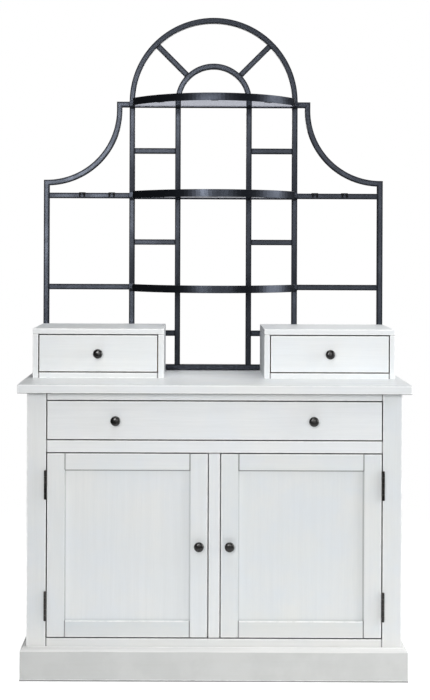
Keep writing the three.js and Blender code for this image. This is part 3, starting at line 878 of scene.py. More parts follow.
@finish_named("bare_wood")
def bare(tree, place, axis):
    """Lacquered pale wood whose grain runs along one axis."""
    wood = bpy.context.scene.hutch_wood
    plank = attribute(tree, "plank")
    stretch = stretched_along(axis, 140.0, 4.0)
    grain = effect(tree, brushed_grain(), Vector=place, Stretch=stretch, Plank=plank)
    rings_place = vector_node(tree, "MULTIPLY", place, stretched_along(axis, 9.0, 0.9))
    moved = vector_node(tree, "ADD", rings_place, plank)
    rings = add_node(
        tree, "ShaderNodeTexNoise", Vector=moved, Scale=1.0, Detail=1.0, Distortion=0.6,
    ).outputs["Fac"]
    figure = ranged(tree, math_node(tree, "PINGPONG", times(tree, rings, 9.0), 0.5), 0.05, 0.45, 0, 1)
    toned = mixed(tree, times(tree, figure, 0.45), tuple(wood.light), tuple(wood.dark))
    streaked = mixed(tree, times(tree, grain["Streak"], 0.35), toned, tuple(wood.dark))
    return {
        "Base Color": mixed(tree, rubbed_and_highlight_mask(tree, place, 0.3), streaked, tuple(wood.light)),
        "Roughness": math_node(tree, "MULTIPLY_ADD", figure, 0.12, 0.46),
        "Normal": bumped(tree, grain["Relief"], 0.2, 0.0003),
    }


@finish_named("end_grain")
def end_grain(tree, place):
    """Dark cut ends of the drawer fronts' pins."""
    wood = bpy.context.scene.hutch_wood
    pores = add_node(tree, "ShaderNodeTexVoronoi", Vector=place, Scale=1400.0).outputs["Distance"]
    rings = ranged(tree, noise(tree, place, 260.0, 2.0), 0.3, 0.7, 0, 0.8)
    return {
        "Base Color": mixed(tree, rings, tuple(wood.end), tuple(wood.dark)),
        "Roughness": ranged(tree, pores, 0.1, 0.5, 0.7, 0.55),
        "Normal": bumped(tree, pores, 0.3, 0.0002),
    }


def steel(tree, place, roughness, metallic, share=1.0, shaded_low=False):
    """Charcoal coat of the rack, with a share of the usual colour, and painted shade that darkens it round
    the edges, at joints, on the inner hoop's feet and under the shelf bands.
    """
    metal = bpy.context.scene.hutch_metal
    peel = effect(tree, fine_peel(), Vector=place, Scale=420.0)
    # The rim and shade marks paint darker steel as shade
    rim = times(tree, attribute(tree, "rim"), 0.95)
    # Painted shade at the foot of the shelves' lugs and rear bars
    if shaded_low:
        rim = math_node(tree, "MAXIMUM", rim, effect(tree, lug_shade(), Vector=place)["Mask"])
    toned = mixed(tree, peel["Tone"], scaled(metal.steel, share), scaled(metal.steel, share * 0.86))
    edged = mixed(tree, rim, toned, scaled(metal.steel_edge_shade, share))
    uneven = math_node(tree, "MULTIPLY_ADD", peel["Tone"], 0.06, roughness)
    return {
        "Base Color": mixed(tree, dust_mask(tree, place, 0.06), edged, (0.32, 0.32, 0.33, 1)),
        "Roughness": math_node(tree, "MULTIPLY_ADD", rim, 0.2, uneven),
        "Metallic": metallic,
        "Specular IOR Level": 0.2,
        "Normal": bumped(tree, peel["Height"], 0.006, 0.0003),
    }


@finish_named("tube_coat")
def rack_steel(tree, place):
    """Satin coat of the tubes."""
    return steel(tree, place, 0.25, 0.7)


@finish_named("shelf_steel")
def shelf_steel(tree, place):
    """Glossier coat of the flat shelf bands."""
    return steel(tree, place, 0.27, 0.9, 0.75, True)


@finish_named("clip_steel")
def clip_steel(tree, place):
    """Black coat of the clips on the wings."""
    return steel(tree, place, 0.40, 0.5, 0.08)


@finish_named("rubbed_bronze")
def dark_bronze(tree, place):
    """Oil-rubbed bronze, brown where hands and knuckles rub it."""
    metal = bpy.context.scene.hutch_metal
    peel = effect(tree, fine_peel(), Vector=place, Scale=1300.0)
    toned = mixed(tree, peel["Tone"], tuple(metal.bronze), scaled(metal.bronze, 2.4))
    return {
        "Base Color": mixed(tree, rubbed_and_highlight_mask(tree, place, 0.5), toned, tuple(metal.bronze_rubbed)),
        "Roughness": math_node(tree, "MULTIPLY_ADD", peel["Tone"], 0.10, 0.25),
        "Metallic": 0.7,
        "Specular IOR Level": 0.5,
        "Coat Weight": 0.7,
        "Coat Roughness": 0.16,
        "Normal": bumped(tree, peel["Height"], 0.12, 0.0002),
    }


@finish_named("clear_glass")
def shelf_glass(tree, place):
    """Clear shelf glass, faintly wavy, with a green edge."""
    glass = bpy.context.scene.hutch_glass
    return {
        "Base Color": mixed(tree, attribute(tree, "rim"), tuple(glass.tint), tuple(glass.edge_tint)),
        "Roughness": 0.0,
        "Transmission Weight": 1.0,
        "IOR": 1.5,
        "Normal": bumped(tree, noise(tree, place, 6.0, 2.0), 0.02, 0.0004),
    }


# Forms grown by geometry nodes


def joined(tree, parts):
    join = tree.nodes.new("GeometryNodeJoinGeometry")
    for part in parts:
        tree.links.new(part, join.inputs[0])
    return join.outputs[0]


def one_path(tree, curves):
    """Makes curves that meet end to end into one path."""
    edges = add_node(tree, "GeometryNodeCurveToMesh", at={0: joined(tree, curves)}).outputs[0]
    welded = add_node(tree, "GeometryNodeMergeByDistance", Geometry=edges, Distance=0.0002).outputs[0]
    return add_node(tree, "GeometryNodeMeshToCurve", at={0: welded}).outputs[0]


def rounded(tree, curve, radius, count):
    return add_node(
        tree, "GeometryNodeFilletCurve", {"mode": "POLY"},
        Curve=curve, Radius=radius, Count=count, Limit_Radius=True,
    ).outputs[0]


def level_bar(tree, path, width, height, corner):
    """Sweeps a rounded rectangle along a path and keeps it level."""
    level = add_node(tree, "GeometryNodeSetCurveNormal", {"mode": "Z_UP"}, Curve=path).outputs[0]
    flat = add_node(tree, "GeometryNodeCurvePrimitiveQuadrilateral", Width=width, Height=height).outputs[0]
    section = rounded(tree, flat, corner, BEND_STEPS + 1)
    bar = add_node(tree, "GeometryNodeCurveToMesh", Curve=level, Profile_Curve=section, Fill_Caps=True)
    return bar.outputs[0]


def point(tree, x, y, z):
    return add_node(tree, "ShaderNodeCombineXYZ", X=x, Y=y, Z=z).outputs[0]


def straight(tree, start, end):
    return add_node(tree, "GeometryNodeCurvePrimitiveLine", Start=start, End=end).outputs[0]


def finished(tree, geometry, material):
    """Ends a tree: smooth faces, one finish and no instances."""
    smooth = add_node(tree, "GeometryNodeSetShadeSmooth", at={0: geometry}).outputs[0]
    real = add_node(tree, "GeometryNodeRealizeInstances", at={0: smooth}).outputs[0]
    return (add_node(tree, "GeometryNodeSetMaterial", Geometry=real, Material=material).outputs[0],)


@node_group(
    "Bowed Shelf", "GeometryNodeTree",
    {
        "Geometry": "Geometry", "Half Width": 0.27, "Lug End": 0.29, "Back": 0.19, "Reach": SHELF_REACH,
        "Arm": SHELF_ARM, "Middle Height": 1.5, "Band Height": BAND_HEIGHT, "Band Thickness": BAND_THICKNESS,
        "Corner": 0.0008, "Rear Bar": REAR_BAR, "Rest Length": REST_LENGTH, "Rest Width": REST_WIDTH,
        "Rest Spread": 0.3, "Finish": "Material",
    },
    {"Geometry": "Geometry"},
)
def bowed_shelf_tree(tree, put):
    """Flat bar bent round a bowed shelf, with its lugs, rear bar and the small rests under the glass."""
    thickness, height, middle = put["Band Thickness"], put["Band Height"], put["Middle Height"]
    half_thick = times(tree, thickness, 0.5)
    side = plus(tree, put["Half Width"], half_thick)
    other = times(tree, side, -1.0)
    seat = minus(tree, put["Back"], half_thick)
    arm = minus(tree, put["Back"], put["Arm"])
    front = plus(tree, minus(tree, put["Back"], put["Reach"]), half_thick)
    start, end = (point(tree, x, arm, middle) for x in (other, side))
    corners = [point(tree, x, seat, middle) for x in (other, side)]
    lugs = [point(tree, x, seat, middle) for x in (times(tree, put["Lug End"], -1.0), put["Lug End"])]
    bow = add_node(
        tree, "GeometryNodeCurveArc", {"mode": "POINTS"},
        Resolution=ARC_STEPS, Start=start, Middle=point(tree, 0.0, front, middle), End=end,
    ).outputs
    runs = (
        straight(tree, lugs[0], corners[0]), straight(tree, corners[0], start), bow["Curve"],
        straight(tree, end, corners[1]), straight(tree, corners[1], lugs[1]),
    )
    bent = rounded(tree, one_path(tree, runs), times(tree, thickness, 1.2), 3)
    band = level_bar(tree, bent, thickness, height, put["Corner"])

    low = plus(tree, minus(tree, middle, times(tree, height, 0.5)), half_thick)
    bar_y = minus(tree, put["Back"], times(tree, put["Rear Bar"], 0.5))
    bar_path = straight(tree, *(point(tree, x, bar_y, low) for x in (other, side)))
    bar = level_bar(tree, bar_path, put["Rear Bar"], thickness, put["Corner"])

    inward = minus(tree, bow["Radius"], times(tree, put["Rest Width"], 0.5))
    rest_y = times(tree, inward, -1.0)
    rest_ends = [point(tree, times(tree, put["Rest Length"], share), rest_y, 0.0) for share in (-0.5, 0.5)]
    rest = level_bar(tree, straight(tree, *rest_ends), put["Rest Width"], thickness, put["Corner"])
    centre = parts_of(tree, bow["Center"])
    spots = add_node(tree, "GeometryNodePoints", Count=3, Position=point(tree, centre["X"], centre["Y"], low))
    order = minus(tree, tree.nodes.new("GeometryNodeInputIndex").outputs[0], 1.0)
    turn = point(tree, 0.0, 0.0, times(tree, order, put["Rest Spread"]))
    rests = add_node(
        tree, "GeometryNodeInstanceOnPoints", Points=spots.outputs[0], Instance=rest, Rotation=turn,
    ).outputs[0]
    return finished(tree, joined(tree, (band, bar, rests)), put["Finish"])


@node_group(
    "Cross Head Screws", "GeometryNodeTree",
    {
        "Geometry": "Geometry", "Head Radius": 0.003, "Head Height": 0.001, "Slot Width": 0.0007,
        "Slot Depth": 0.0006, "Seed": 4, "Finish": "Material",
    },
    {"Geometry": "Geometry"},
)
def screw_tree(tree, put):
    """Cross-head screws on points, each facing the way its point says and turned at random."""
    radius, height, slot = put["Head Radius"], put["Head Height"], put["Slot Width"]
    head = add_node(
        tree, "GeometryNodeMeshCone",
        Vertices=20, Radius_Top=times(tree, radius, 0.72), Radius_Bottom=radius, Depth=height,
    ).outputs["Mesh"]
    reach = times(tree, radius, 1.05)
    depth = times(tree, put["Slot Depth"], 2.0)
    cuts = []
    for size in (point(tree, reach, slot, depth), point(tree, slot, reach, depth)):
        cut = add_node(tree, "GeometryNodeMeshCube", Size=size).outputs["Mesh"]
        raise_by = point(tree, 0.0, 0.0, height)
        cuts.append(add_node(tree, "GeometryNodeTransform", Geometry=cut, Translation=raise_by).outputs[0])
    cross = add_node(
        tree, "GeometryNodeMeshBoolean", {"operation": "DIFFERENCE", "solver": "EXACT"},
        {0: head, 1: joined(tree, cuts)}, Self_Intersection=True,
    ).outputs[0]
    facing = add_node(
        tree, "GeometryNodeInputNamedAttribute", {"data_type": "FLOAT_VECTOR"}, Name="facing",
    ).outputs[0]
    aligned = add_node(tree, "FunctionNodeAlignRotationToVector", {"axis": "Z"}, Vector=facing).outputs[0]
    chances = {2: 0.0, 3: math.pi / 2, "Seed": put["Seed"]}
    chance = add_node(tree, "FunctionNodeRandomValue", {"data_type": "FLOAT"}, chances).outputs[1]
    spin = add_node(tree, "FunctionNodeAxisAngleToRotation", Axis=(0.0, 0.0, 1.0), Angle=chance).outputs[0]
    turned = add_node(tree, "FunctionNodeRotateRotation", {"rotation_space": "LOCAL"}, {0: aligned, 1: spin})
    placed = add_node(
        tree, "GeometryNodeInstanceOnPoints",
        Points=put["Geometry"], Instance=cross, Rotation=turned.outputs[0],
    ).outputs[0]
    return finished(tree, placed, put["Finish"])


def grown(name, tree, inputs, body, nodes=(), seeds=()):
    """Grows a piece with a tree and turns it into a plain mesh on its body."""
    mesh = bpy.data.meshes.new(name + "_seed")
    mesh.from_pydata([place for place, _ in seeds], [], [])
    facing = mesh.attributes.new("facing", "FLOAT_VECTOR", "POINT")
    facing.data.foreach_set("vector", [value for _, way in seeds for value in way])
    seed = linked(name + "_seed", mesh)
    modifier = seed.modifiers.new(name, "NODES")
    modifier.node_group = tree
    for item in tree.interface.items_tree:
        if item.in_out == "INPUT" and item.name in inputs:
            modifier[item.identifier] = inputs[item.name]
    evaluated = seed.evaluated_get(bpy.context.evaluated_depsgraph_get())
    plain_mesh = bpy.data.meshes.new_from_object(evaluated)
    bpy.data.objects.remove(seed)
    plain_mesh.name = name
    if not plain_mesh.polygons:
        raise RuntimeError(f"{name} came out empty")
    recalculated = bmesh.new()
    recalculated.from_mesh(plain_mesh)
    bmesh.ops.remove_doubles(recalculated, verts=recalculated.verts, dist=1e-6)
    bmesh.ops.recalc_face_normals(recalculated, faces=recalculated.faces)
    recalculated.to_mesh(plain_mesh)
    recalculated.free()
    dress(linked(name, plain_mesh), body, nodes)


# Places


def across(side, near, far):
    return (-far, -near) if side < 0 else (near, far)


def sided(side, end):
    """The end of a board that points away from the middle ("out") or towards it ("in") on one side."""
    outward = side if end == "out" else -side
    return "+x" if outward > 0 else "-x"


def wash_of(node):
    """How much wash, partly painted shade, the board of a node keeps."""
    return next((wash for name, wash in BOARD_WASH_AND_SHADE.items() if node.startswith(name)), USUAL_WASH)


def shelf_heights():
    boxes = [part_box(f"shelf_band_{level}") for level in LEVELS]
    return [(low.z + high.z) / 2 for low, high in boxes]


def painted_piece(name, form, axes, node, body="root", seed=0.0):
    make_piece(name, form, [painted(axis) for axis in axes], body, [node], seed)


def steel_piece(name, form, node):
    make_piece(name, form, [rack_steel()], "root", [node])


def bronze_piece(name, form, node, body):
    make_piece(name, form, [dark_bronze()], body, [node])


def simple_board(node, axis, body="root", glazed=(), gaps=(), clean=()):
    """Makes one painted board in the place of a node, with a seed from its name."""
    paint = bpy.context.scene.hutch_paint
    form = Form(wash_of(node))
    add_board(form, *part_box(node), paint.edge, paint.rim, glazed, 0, gaps, clean)
    painted_piece(f"{node}_board", form, axis, node, body, sum(map(ord, node)) % 97 / 10)


# Operators


class HUTCH_OT_frame(bpy.types.Operator):
    """Build the worktop, posts, rails and centre stile of the sideboard"""

    bl_idname = "hutch.frame"
    bl_label = "Sideboard Frame"

    def execute(self, context):
        paint = context.scene.hutch_paint
        self.lay_worktop(paint)
        for word, side in SIDES:
            simple_board(f"front_post_{word}", "z", gaps=(sided(side, "in"),))
            simple_board(f"back_post_{word}", "z")
        for rail, gaps in (("top", ("-z", "+z")), ("drawer", ("-z", "+z")), ("bottom", ("+z",))):
            simple_board(f"{rail}_rail", "x", glazed=("-x", "+x"), gaps=gaps)
        low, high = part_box("centre_stile")
        half = (high.x - low.x) / 2 - STOP_LAP
        stop_front = low.y + STILE_THICKNESS + STOP_GAP
        form = Form()
        stile = ((-half, low.y, low.z), (half, stop_front, high.z))
        add_board(form, *stile, paint.edge, paint.rim, ("-z", "+z"), 0, ("-x", "+x"))
        add_board(form, (low.x, stop_front, low.z), high, paint.edge, paint.rim)
        painted_piece("centre_stile_board", form, "z", "centre_stile")
        return {"FINISHED"}

    def lay_worktop(self, paint):
        """Lays the worktop, with a thin line of glaze along its upper edges and painted shadow under its
        lower ones.
        """
        low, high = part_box("worktop")
        ease = paint.worktop_edge
        form = Form(wash_of("worktop"))
        add_board(form, low, high, ease, paint.rim, (), 0, ("-z",))

        def gathered(x, y, z):
            if z < low.z + ease * UNDERSIDE_SHADOW_SHARE:
                return 1.0
            at_side = y < low.y + ease or abs(x) > high.x - ease
            return EDGE_GLAZE if at_side and z > high.z - ease else None

        form.reglaze_and_shade(gathered)
        painted_piece("worktop_board", form, "x", "worktop", seed=2.0)


class HUTCH_OT_plinth(bpy.types.Operator):
    """Build the mitred plinth with its bevelled top"""

    bl_idname = "hutch.plinth"
    bl_label = "Plinth"

    def execute(self, context):
        paint = context.scene.hutch_paint
        low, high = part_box("plinth")
        left, right, front = low.x + PLINTH_THICKNESS, high.x - PLINTH_THICKNESS, low.y + PLINTH_THICKNESS
        ease, face = paint.edge / 2, -PLINTH_THICKNESS
        shoulder, ledge = high.z - PLINTH_BEVEL, PLINTH_BEVEL - PLINTH_THICKNESS
        section = [
            (0.0, ease, 0.0), (-ease, 0.0, 1.0), (face + ease, 0.0, 1.0), (face, ease, 1.0),
            (face, ease + paint.rim, 0.0), (face, shoulder - paint.rim, 0.0), (face, shoulder - ease, 0.0),
            (face + ease, shoulder + ease, 0.0), (ledge - ease, high.z - ease, 0.0),
            (ledge + ease, high.z, 1.0), (-ease, high.z, 0.0), (0.0, high.z - ease, 0.0),
        ]
        path = ((left, high.y), (left, front), (right, front), (right, high.y))
        form = Form(wash_of("plinth"))
        add_sweep(form, path, section, floor_plane)
        form.reglaze_and_shade(lambda x, y, z: BEVEL_GLAZE if shoulder < z < high.z else None)
        painted_piece("plinth_boards", form, "x", "plinth")
        return {"FINISHED"}


class HUTCH_OT_sides(bpy.types.Operator):
    """Build the framed sides with their recessed panels and shelf bearers"""

    bl_idname = "hutch.sides"
    bl_label = "Sides"

    def execute(self, context):
        paint = context.scene.hutch_paint
        rail_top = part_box("bottom_rail")[1].z
        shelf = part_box("cabinet_shelf")[0].z
        for word, side in SIDES:
            node = f"side_panel_{word}"
            low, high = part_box(node)
            outer = max(abs(low.x), abs(high.x))
            face = outer - SIDE_SETBACK
            frame_top = high.z - SIDE_RAIL_HEIGHT
            inner = face - SIDE_PANEL
            boards = (
                (outer - SIDE_RAIL, outer, frame_top, high.z, paint.edge, ("-y", "+y"), 0),
                (outer - SIDE_RAIL, outer, low.z, rail_top, paint.edge, ("-y", "+y"), 0),
                (inner, face, rail_top - PANEL_TONGUE, frame_top + PANEL_TONGUE, paint.edge / 2, (), 1),
                (inner - BEARER, inner, shelf - BEARER, shelf, paint.edge, (), 0),
            )
            form = Form()
            for near, far, foot, top, ease, glazed, finish in boards:
                left, right = across(side, near, far)
                add_board(form, (left, low.y, foot), (right, high.y, top), ease, paint.rim, glazed, finish)
            painted_piece(f"{node}_boards", form, "yz", node, seed=side * 0.3)
        return {"FINISHED"}


class HUTCH_OT_inside(bpy.types.Operator):
    """Build the back panel and inner shelf, and finish the floor and drawer runners"""

    bl_idname = "hutch.inside"
    bl_label = "Inside"

    def execute(self, context):
        edge = context.scene.hutch_wood.edge
        for node in ("back_panel", "cabinet_shelf"):
            low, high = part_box(node)
            high.y -= BACK_RECESS
            form = Form()
            add_board(form, low, high, edge, edge * 3)
            make_piece(f"{node}_board", form, [bare("x")], "root", [node], low.z)
        for node, axis in (("cabinet_floor", "x"), ("drawer_runner_left", "y"), ("drawer_runner_right", "y")):
            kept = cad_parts[node]
            for holder in kept.material_slots:
                holder.link = "OBJECT"
                holder.material = bare(axis)
        return {"FINISHED"}


def add_dovetails(form, face_x, side, front, back, low, high, finish):
    """Adds the end grain of a drawer's corner pins on the outside of its side."""
    count = max(2, round((high - low) / PIN_PITCH))
    pitch = (high - low) / count
    for index in range(count + 1):
        centre = low + index * pitch
        ring = []
        for y, half in ((front, pitch * PIN_WIDE_SHARE), (back, -pitch * PIN_NARROW_SHARE)):
            for z in (centre - half, centre + half):
                ring.append((y, min(max(z, low + PIN_PROUD), high - PIN_PROUD)))
        points = [(x, y, z) for x in (face_x, face_x + side * PIN_PROUD) for y, z in ring]
        form.add(points, bridged(len(ring), 2), finish=finish)


def drawer_tray(node, name, body, wall):
    """Builds a dovetailed drawer box: two sides, front, back and bottom."""
    edge = bpy.context.scene.hutch_wood.edge
    rim = edge * 2
    low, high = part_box(node)
    form = Form()
    ends = ((low.y, low.y + wall), (high.y - wall, high.y))
    for _, side in SIDES:
        left, right = (low.x, low.x + wall) if side < 0 else (high.x - wall, high.x)
        add_board(form, (left, low.y, low.z), (right, high.y, high.z), edge, rim)
        for outer, inner in (ends[0], ends[1][::-1]):
            face = left if side < 0 else right
            add_dovetails(form, face, side, outer, inner, low.z + edge, high.z - edge, 2)
    for near, far in ends:
        add_board(form, (low.x + wall, near, low.z), (high.x - wall, far, high.z), edge, rim, (), 1)
    floor = low.z + DRAWER_BOTTOM_LIFT
    last = (high.x - wall, high.y - wall, floor + DRAWER_BOTTOM)
    add_board(form, (low.x + wall, low.y + wall, floor), last, edge / 2, rim, (), 1)
    make_piece(name, form, [bare("y"), bare("x"), end_grain()], body, [node], low.x)


class HUTCH_OT_drawers(bpy.types.Operator):
    """Build the wide drawer: its front board and dovetailed box"""

    bl_idname = "hutch.drawers"
    bl_label = "Wide Drawer"

    def execute(self, context):
        simple_board("wide_drawer_front", "x", "wide_drawer", gaps=("-x", "+x", "-z", "+z"))
        drawer_tray("wide_drawer_box", "wide_drawer_tray", "wide_drawer", WIDE_WALL)
        return {"FINISHED"}


class HUTCH_OT_doors(bpy.types.Operator):
    """Build the two framed doors"""

    bl_idname = "hutch.doors"
    bl_label = "Doors"

    def execute(self, context):
        for word, side in SIDES:
            body = f"{word}_door"
            for member, end, inner in (("hinge_stile", "out", "in"), ("lock_stile", "in", "out")):
                gaps, clean = (sided(side, end), "-z", "+z"), (sided(side, inner),)
                simple_board(f"{body}_{member}", "z", body, gaps=gaps, clean=clean)
            simple_board(f"{body}_top_rail", "x", body, ("-x", "+x"), ("+z",), ("-z",))
            simple_board(f"{body}_bottom_rail", "x", body, ("-x", "+x"), ("-z",))
            self.fit_panel(context.scene.hutch_paint, body, side)
        return {"FINISHED"}

    def fit_panel(self, paint, body, side):
        """Fits a panel, with glaze and painted shade along its borders, most of it under the top rail where
        its shadow falls.
        """
        node = f"{body}_panel"
        low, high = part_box(node)
        form = Form(wash_of(node))
        add_board(form, low, high, paint.edge / 3, (PANEL_LINE, PANEL_FADE))
        reach = PANEL_LINE + paint.edge
        ends = {"top": "+z", "bottom": "-z", "outer": sided(side, "out"), "inner": sided(side, "in")}

        def gathered(*place):
            near = [border for border, end in ends.items() if near_end(place, low, high, reach, end)]
            return max([PANEL_GLAZE_AND_SHADE[border] for border in near], default=0.0)

        form.reglaze_and_shade(gathered)
        painted_piece(f"{node}_board", form, "z", node, body, low.x)


class HUTCH_OT_boxes(bpy.types.Operator):
    """Build the two small boxes on the worktop with their drawers"""

    bl_idname = "hutch.boxes"
    bl_label = "Small Boxes"

    def execute(self, context):
        paint = context.scene.hutch_paint
        for word, side in SIDES:
            node = f"{word}_box_case"
            low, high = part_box(node)
            left, right, floor, top = low.x + BOARD, high.x - BOARD, low.z + BOARD, high.z - BOARD
            boards = (
                ((low.x, low.y, top), high, (), 0, ("-z",)),
                (low, (left, high.y, top), (), 1, ("+x", "+z")),
                ((right, low.y, low.z), (high.x, high.y, top), (), 1, ("-x", "+z")),
                ((left, low.y, low.z), (right, high.y, floor), ("-x", "+x"), 0, ("+z",)),
                ((left, high.y - BOX_BACK, floor), (right, high.y, top), (), 0, ()),
            )
            form = Form(wash_of(node))
            for first, last, glazed, finish, gaps in boards:
                add_board(form, first, last, paint.edge, paint.rim, glazed, finish, gaps)
            painted_piece(f"{node}_boards", form, "xz", node, seed=side * 0.7)
            body = f"{word}_small_drawer"
            simple_board(f"{body}_front", "x", body, (), ("-x", "+x", "-z", "+z"))
            drawer_tray(f"{body}_box", f"{body}_tray", body, SMALL_WALL)
        return {"FINISHED"}


def knob_profile(radius, projection):
    """Turned knob from its rose to the crown of its head: radius, distance and rubbed rim."""
    rose, lip = radius * 0.55, projection * 0.05
    neck, waist_end, widest = radius * 0.36, projection * 0.34, projection * 0.66
    shares = [step / KNOB_STEPS for step in range(1, KNOB_STEPS + 1)]
    profile = [(0, 0, 0), (rose, 0, 0), (rose, lip, 1), (rose * 0.93, lip * 1.8, 0.6)]
    for share in shares:
        waist = neck + (rose * 0.86 - neck) * (1 - share) ** 2.4
        profile.append((waist, projection * (0.09 + 0.25 * share), 0))
    for share in shares:
        flare = neck + (radius * 0.97 - neck) * share ** 2.6
        profile.append((flare, waist_end + (widest - waist_end) * share ** 0.85, 0))
    for step in range(CROWN_STEPS + 1):
        angle = math.pi / 2 * step / CROWN_STEPS
        along = widest + projection * 0.03 + (projection * 0.31) * math.sin(angle)
        ring = radius * math.cos(angle) ** 0.72 if step < CROWN_STEPS else 0
        profile.append((ring, along, 0.3 if step < 3 else 0.05))
    return profile


class HUTCH_OT_knobs(bpy.types.Operator):
    """Turn the six knobs"""

    bl_idname = "hutch.knobs"
    bl_label = "Knobs"

    def execute(self, context):
        knobs = [("wide_drawer_knob_left", "wide_drawer"), ("wide_drawer_knob_right", "wide_drawer")]
        for word, _ in SIDES:
            knobs += [(f"{word}_{mover}_knob", f"{word}_{mover}") for mover in ("door", "small_drawer")]
        for node, body in knobs:
            low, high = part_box(node)
            origin = ((low.x + high.x) / 2, high.y, (low.z + high.z) / 2)
            form = Form()
            profile = knob_profile((high.z - low.z) / 2, high.y - low.y)
            add_turned(form, profile, origin, KNOB_SIDES, towards_front)
            bronze_piece(f"{node}_turned", form, node, body)
        return {"FINISHED"}


def knuckle_profile(radius, length):
    """One knuckle of a hinge barrel, rubbed at its rims."""
    ease = radius * 0.14
    shoulder = ease * 3
    half = [(0, 0, 0), (radius - ease, 0, 0.4), (radius, ease, 0.8), (radius, shoulder, 0.15)]
    return half + [(ring, length - along, rim) for ring, along, rim in reversed(half)]


def tip_profile(radius, length):
    """Button tip of the hinge pin. A negative length points down."""
    return [
        (0, 0, 0), (radius * 0.7, 0, 0.6), (radius * 0.92, length * 0.3, 1),
        (radius * 0.75, length * 0.75, 1), (radius * 0.35, length * 0.97, 0.8), (0, length, 0.8),
    ]


class HUTCH_OT_hinges(bpy.types.Operator):
    """Build the four butt hinges, each a leaf on the post with the pin and a leaf on the door"""

    bl_idname = "hutch.hinges"
    bl_label = "Hinges"

    def execute(self, context):
        for word, side in SIDES:
            for level in HINGE_LEVELS:
                self.build_hinge(f"{word}_{level}_hinge", side, f"{word}_door")
        return {"FINISHED"}

    def build_hinge(self, node, side, door):
        low, high, post_face, door_face = hinge_faces(node, side)
        axis_x, axis_y = post_face - side * FRONT_GAP / 2, low.y + BARREL_RADIUS
        front = axis_y + BARREL_RADIUS + KNUCKLE_GAP
        knuckle = (high.z - low.z) / KNUCKLES
        ease = LEAF_THICKNESS / 4
        leaves = (
            ("post", "root", 0, 0, (post_face - side * LEAF_THICKNESS, post_face)),
            ("door", door, 1, KNUCKLE_GAP, (post_face - side * FRONT_GAP, door_face)),
        )
        for part, body, first, gap, faces in leaves:
            left, right = sorted(faces)
            form = Form()
            add_board(form, (left, front, low.z), (right, high.y, high.z), ease, LEAF_THICKNESS)
            for index in range(first, KNUCKLES, 2):
                foot, length = low.z + index * knuckle + gap, knuckle - 2 * gap
                profile = knuckle_profile(BARREL_RADIUS, length)
                add_turned(form, profile, (axis_x, axis_y, foot), BARREL_SIDES, upwards)
                last = (right, front + ease, foot + length)
                add_board(form, (left, axis_y, foot), last, ease, LEAF_THICKNESS)
            if part == "post":
                for end, length in ((high.z, TIP_LENGTH), (low.z, -TIP_LENGTH)):
                    tip = tip_profile(BARREL_RADIUS, length)
                    add_turned(form, tip, (axis_x, axis_y, end), BARREL_SIDES, upwards)
            bronze_piece(f"{node}_{part}_side", form, f"{node}_{part}_leaf", body)


def hinge_faces(node, side):
    """Corners of a hinge's post leaf, and the faces of the post and of the door's leaf across."""
    low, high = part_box(f"{node}_post_leaf")
    post_face = low.x if side < 0 else high.x
    return low, high, post_face, post_face - side * (FRONT_GAP - LEAF_THICKNESS)


class HUTCH_OT_hoops(bpy.types.Operator):
    """Bend the two hoops of the rack and weld in the rungs, spokes and bottom rail"""

    bl_idname = "hutch.hoops"
    bl_label = "Hoops and Rungs"

    def execute(self, context):
        low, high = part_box("rack_outer_hoop")
        rail_low, rail_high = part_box("rack_bottom_rail")
        spring, inner = high.z - high.x, INNER_HOOP_WIDTH / 2
        self.bend_hoop("outer", high.x - TUBE / 2, low.z, spring, 0.0)
        self.bend_hoop("inner", inner - TUBE / 2, rail_high.z, spring, FOOT_SHADE)

        form = Form()
        heights = shelf_heights()
        pitch = heights[1] - heights[0]
        drops = [LOW_RUNG_SHARE * (heights[0] - low.z), RUNG_SHARE * pitch, RUNG_SHARE * pitch]
        reaches = (inner - SPOKE_GAP, high.x - TUBE - SPOKE_GAP)
        for _, side in SIDES:
            for height, drop in zip(heights, drops):
                ends = [(side * x, height - drop) for x in (inner, high.x - TUBE)]
                add_tube(form, *jointed(ends, CROSS_SHADE))
            way = (side * math.sin(SPOKE_ANGLE), math.cos(SPOKE_ANGLE))
            add_tube(form, *jointed([(way[0] * reach, spring + way[1] * reach) for reach in reaches]))
        steel_piece("rack_rungs_and_spokes", form, "rack_inner_hoop")

        form = Form()
        middle = (rail_low.z + rail_high.z) / 2
        add_tube(form, *jointed(((rail_low.x, middle), (rail_high.x, middle))))
        steel_piece("rack_foot_rail", form, "rack_bottom_rail")
        return {"FINISHED"}

    def bend_hoop(self, word, half, foot, spring, foot_shade):
        """Bends a tube into an upside-down U, shaded at each shelf and along its feet."""
        path = [(-half, foot)] + arc((0.0, spring), half, math.pi, 0.0, ARC_STEPS * 2) + [(half, foot)]
        length = path_length(path)
        heights = shelf_heights()
        zones = []
        # Painted shade on the hoop under each shelf band, in place of the band's shadow
        for height in heights:
            under = height - BAND_HEIGHT / 2 - foot
            above, below = under + BAND_HEIGHT / 2 - SHELF_SHADE_TOP, under - SHELF_SHADE_REACH
            zones.append((above, below, below - JOINT_SHADE))
            zones.append((length - above, length - below, length - below + JOINT_SHADE))
        path, shades = shaded(path, zones)
        shades = [max(shade, foot_shade) if z < heights[0] else shade for shade, (_, z) in zip(shades, path)]
        form = Form()
        add_tube(form, path, shades)
        steel_piece(f"rack_{word}_tube", form, f"rack_{word}_hoop")


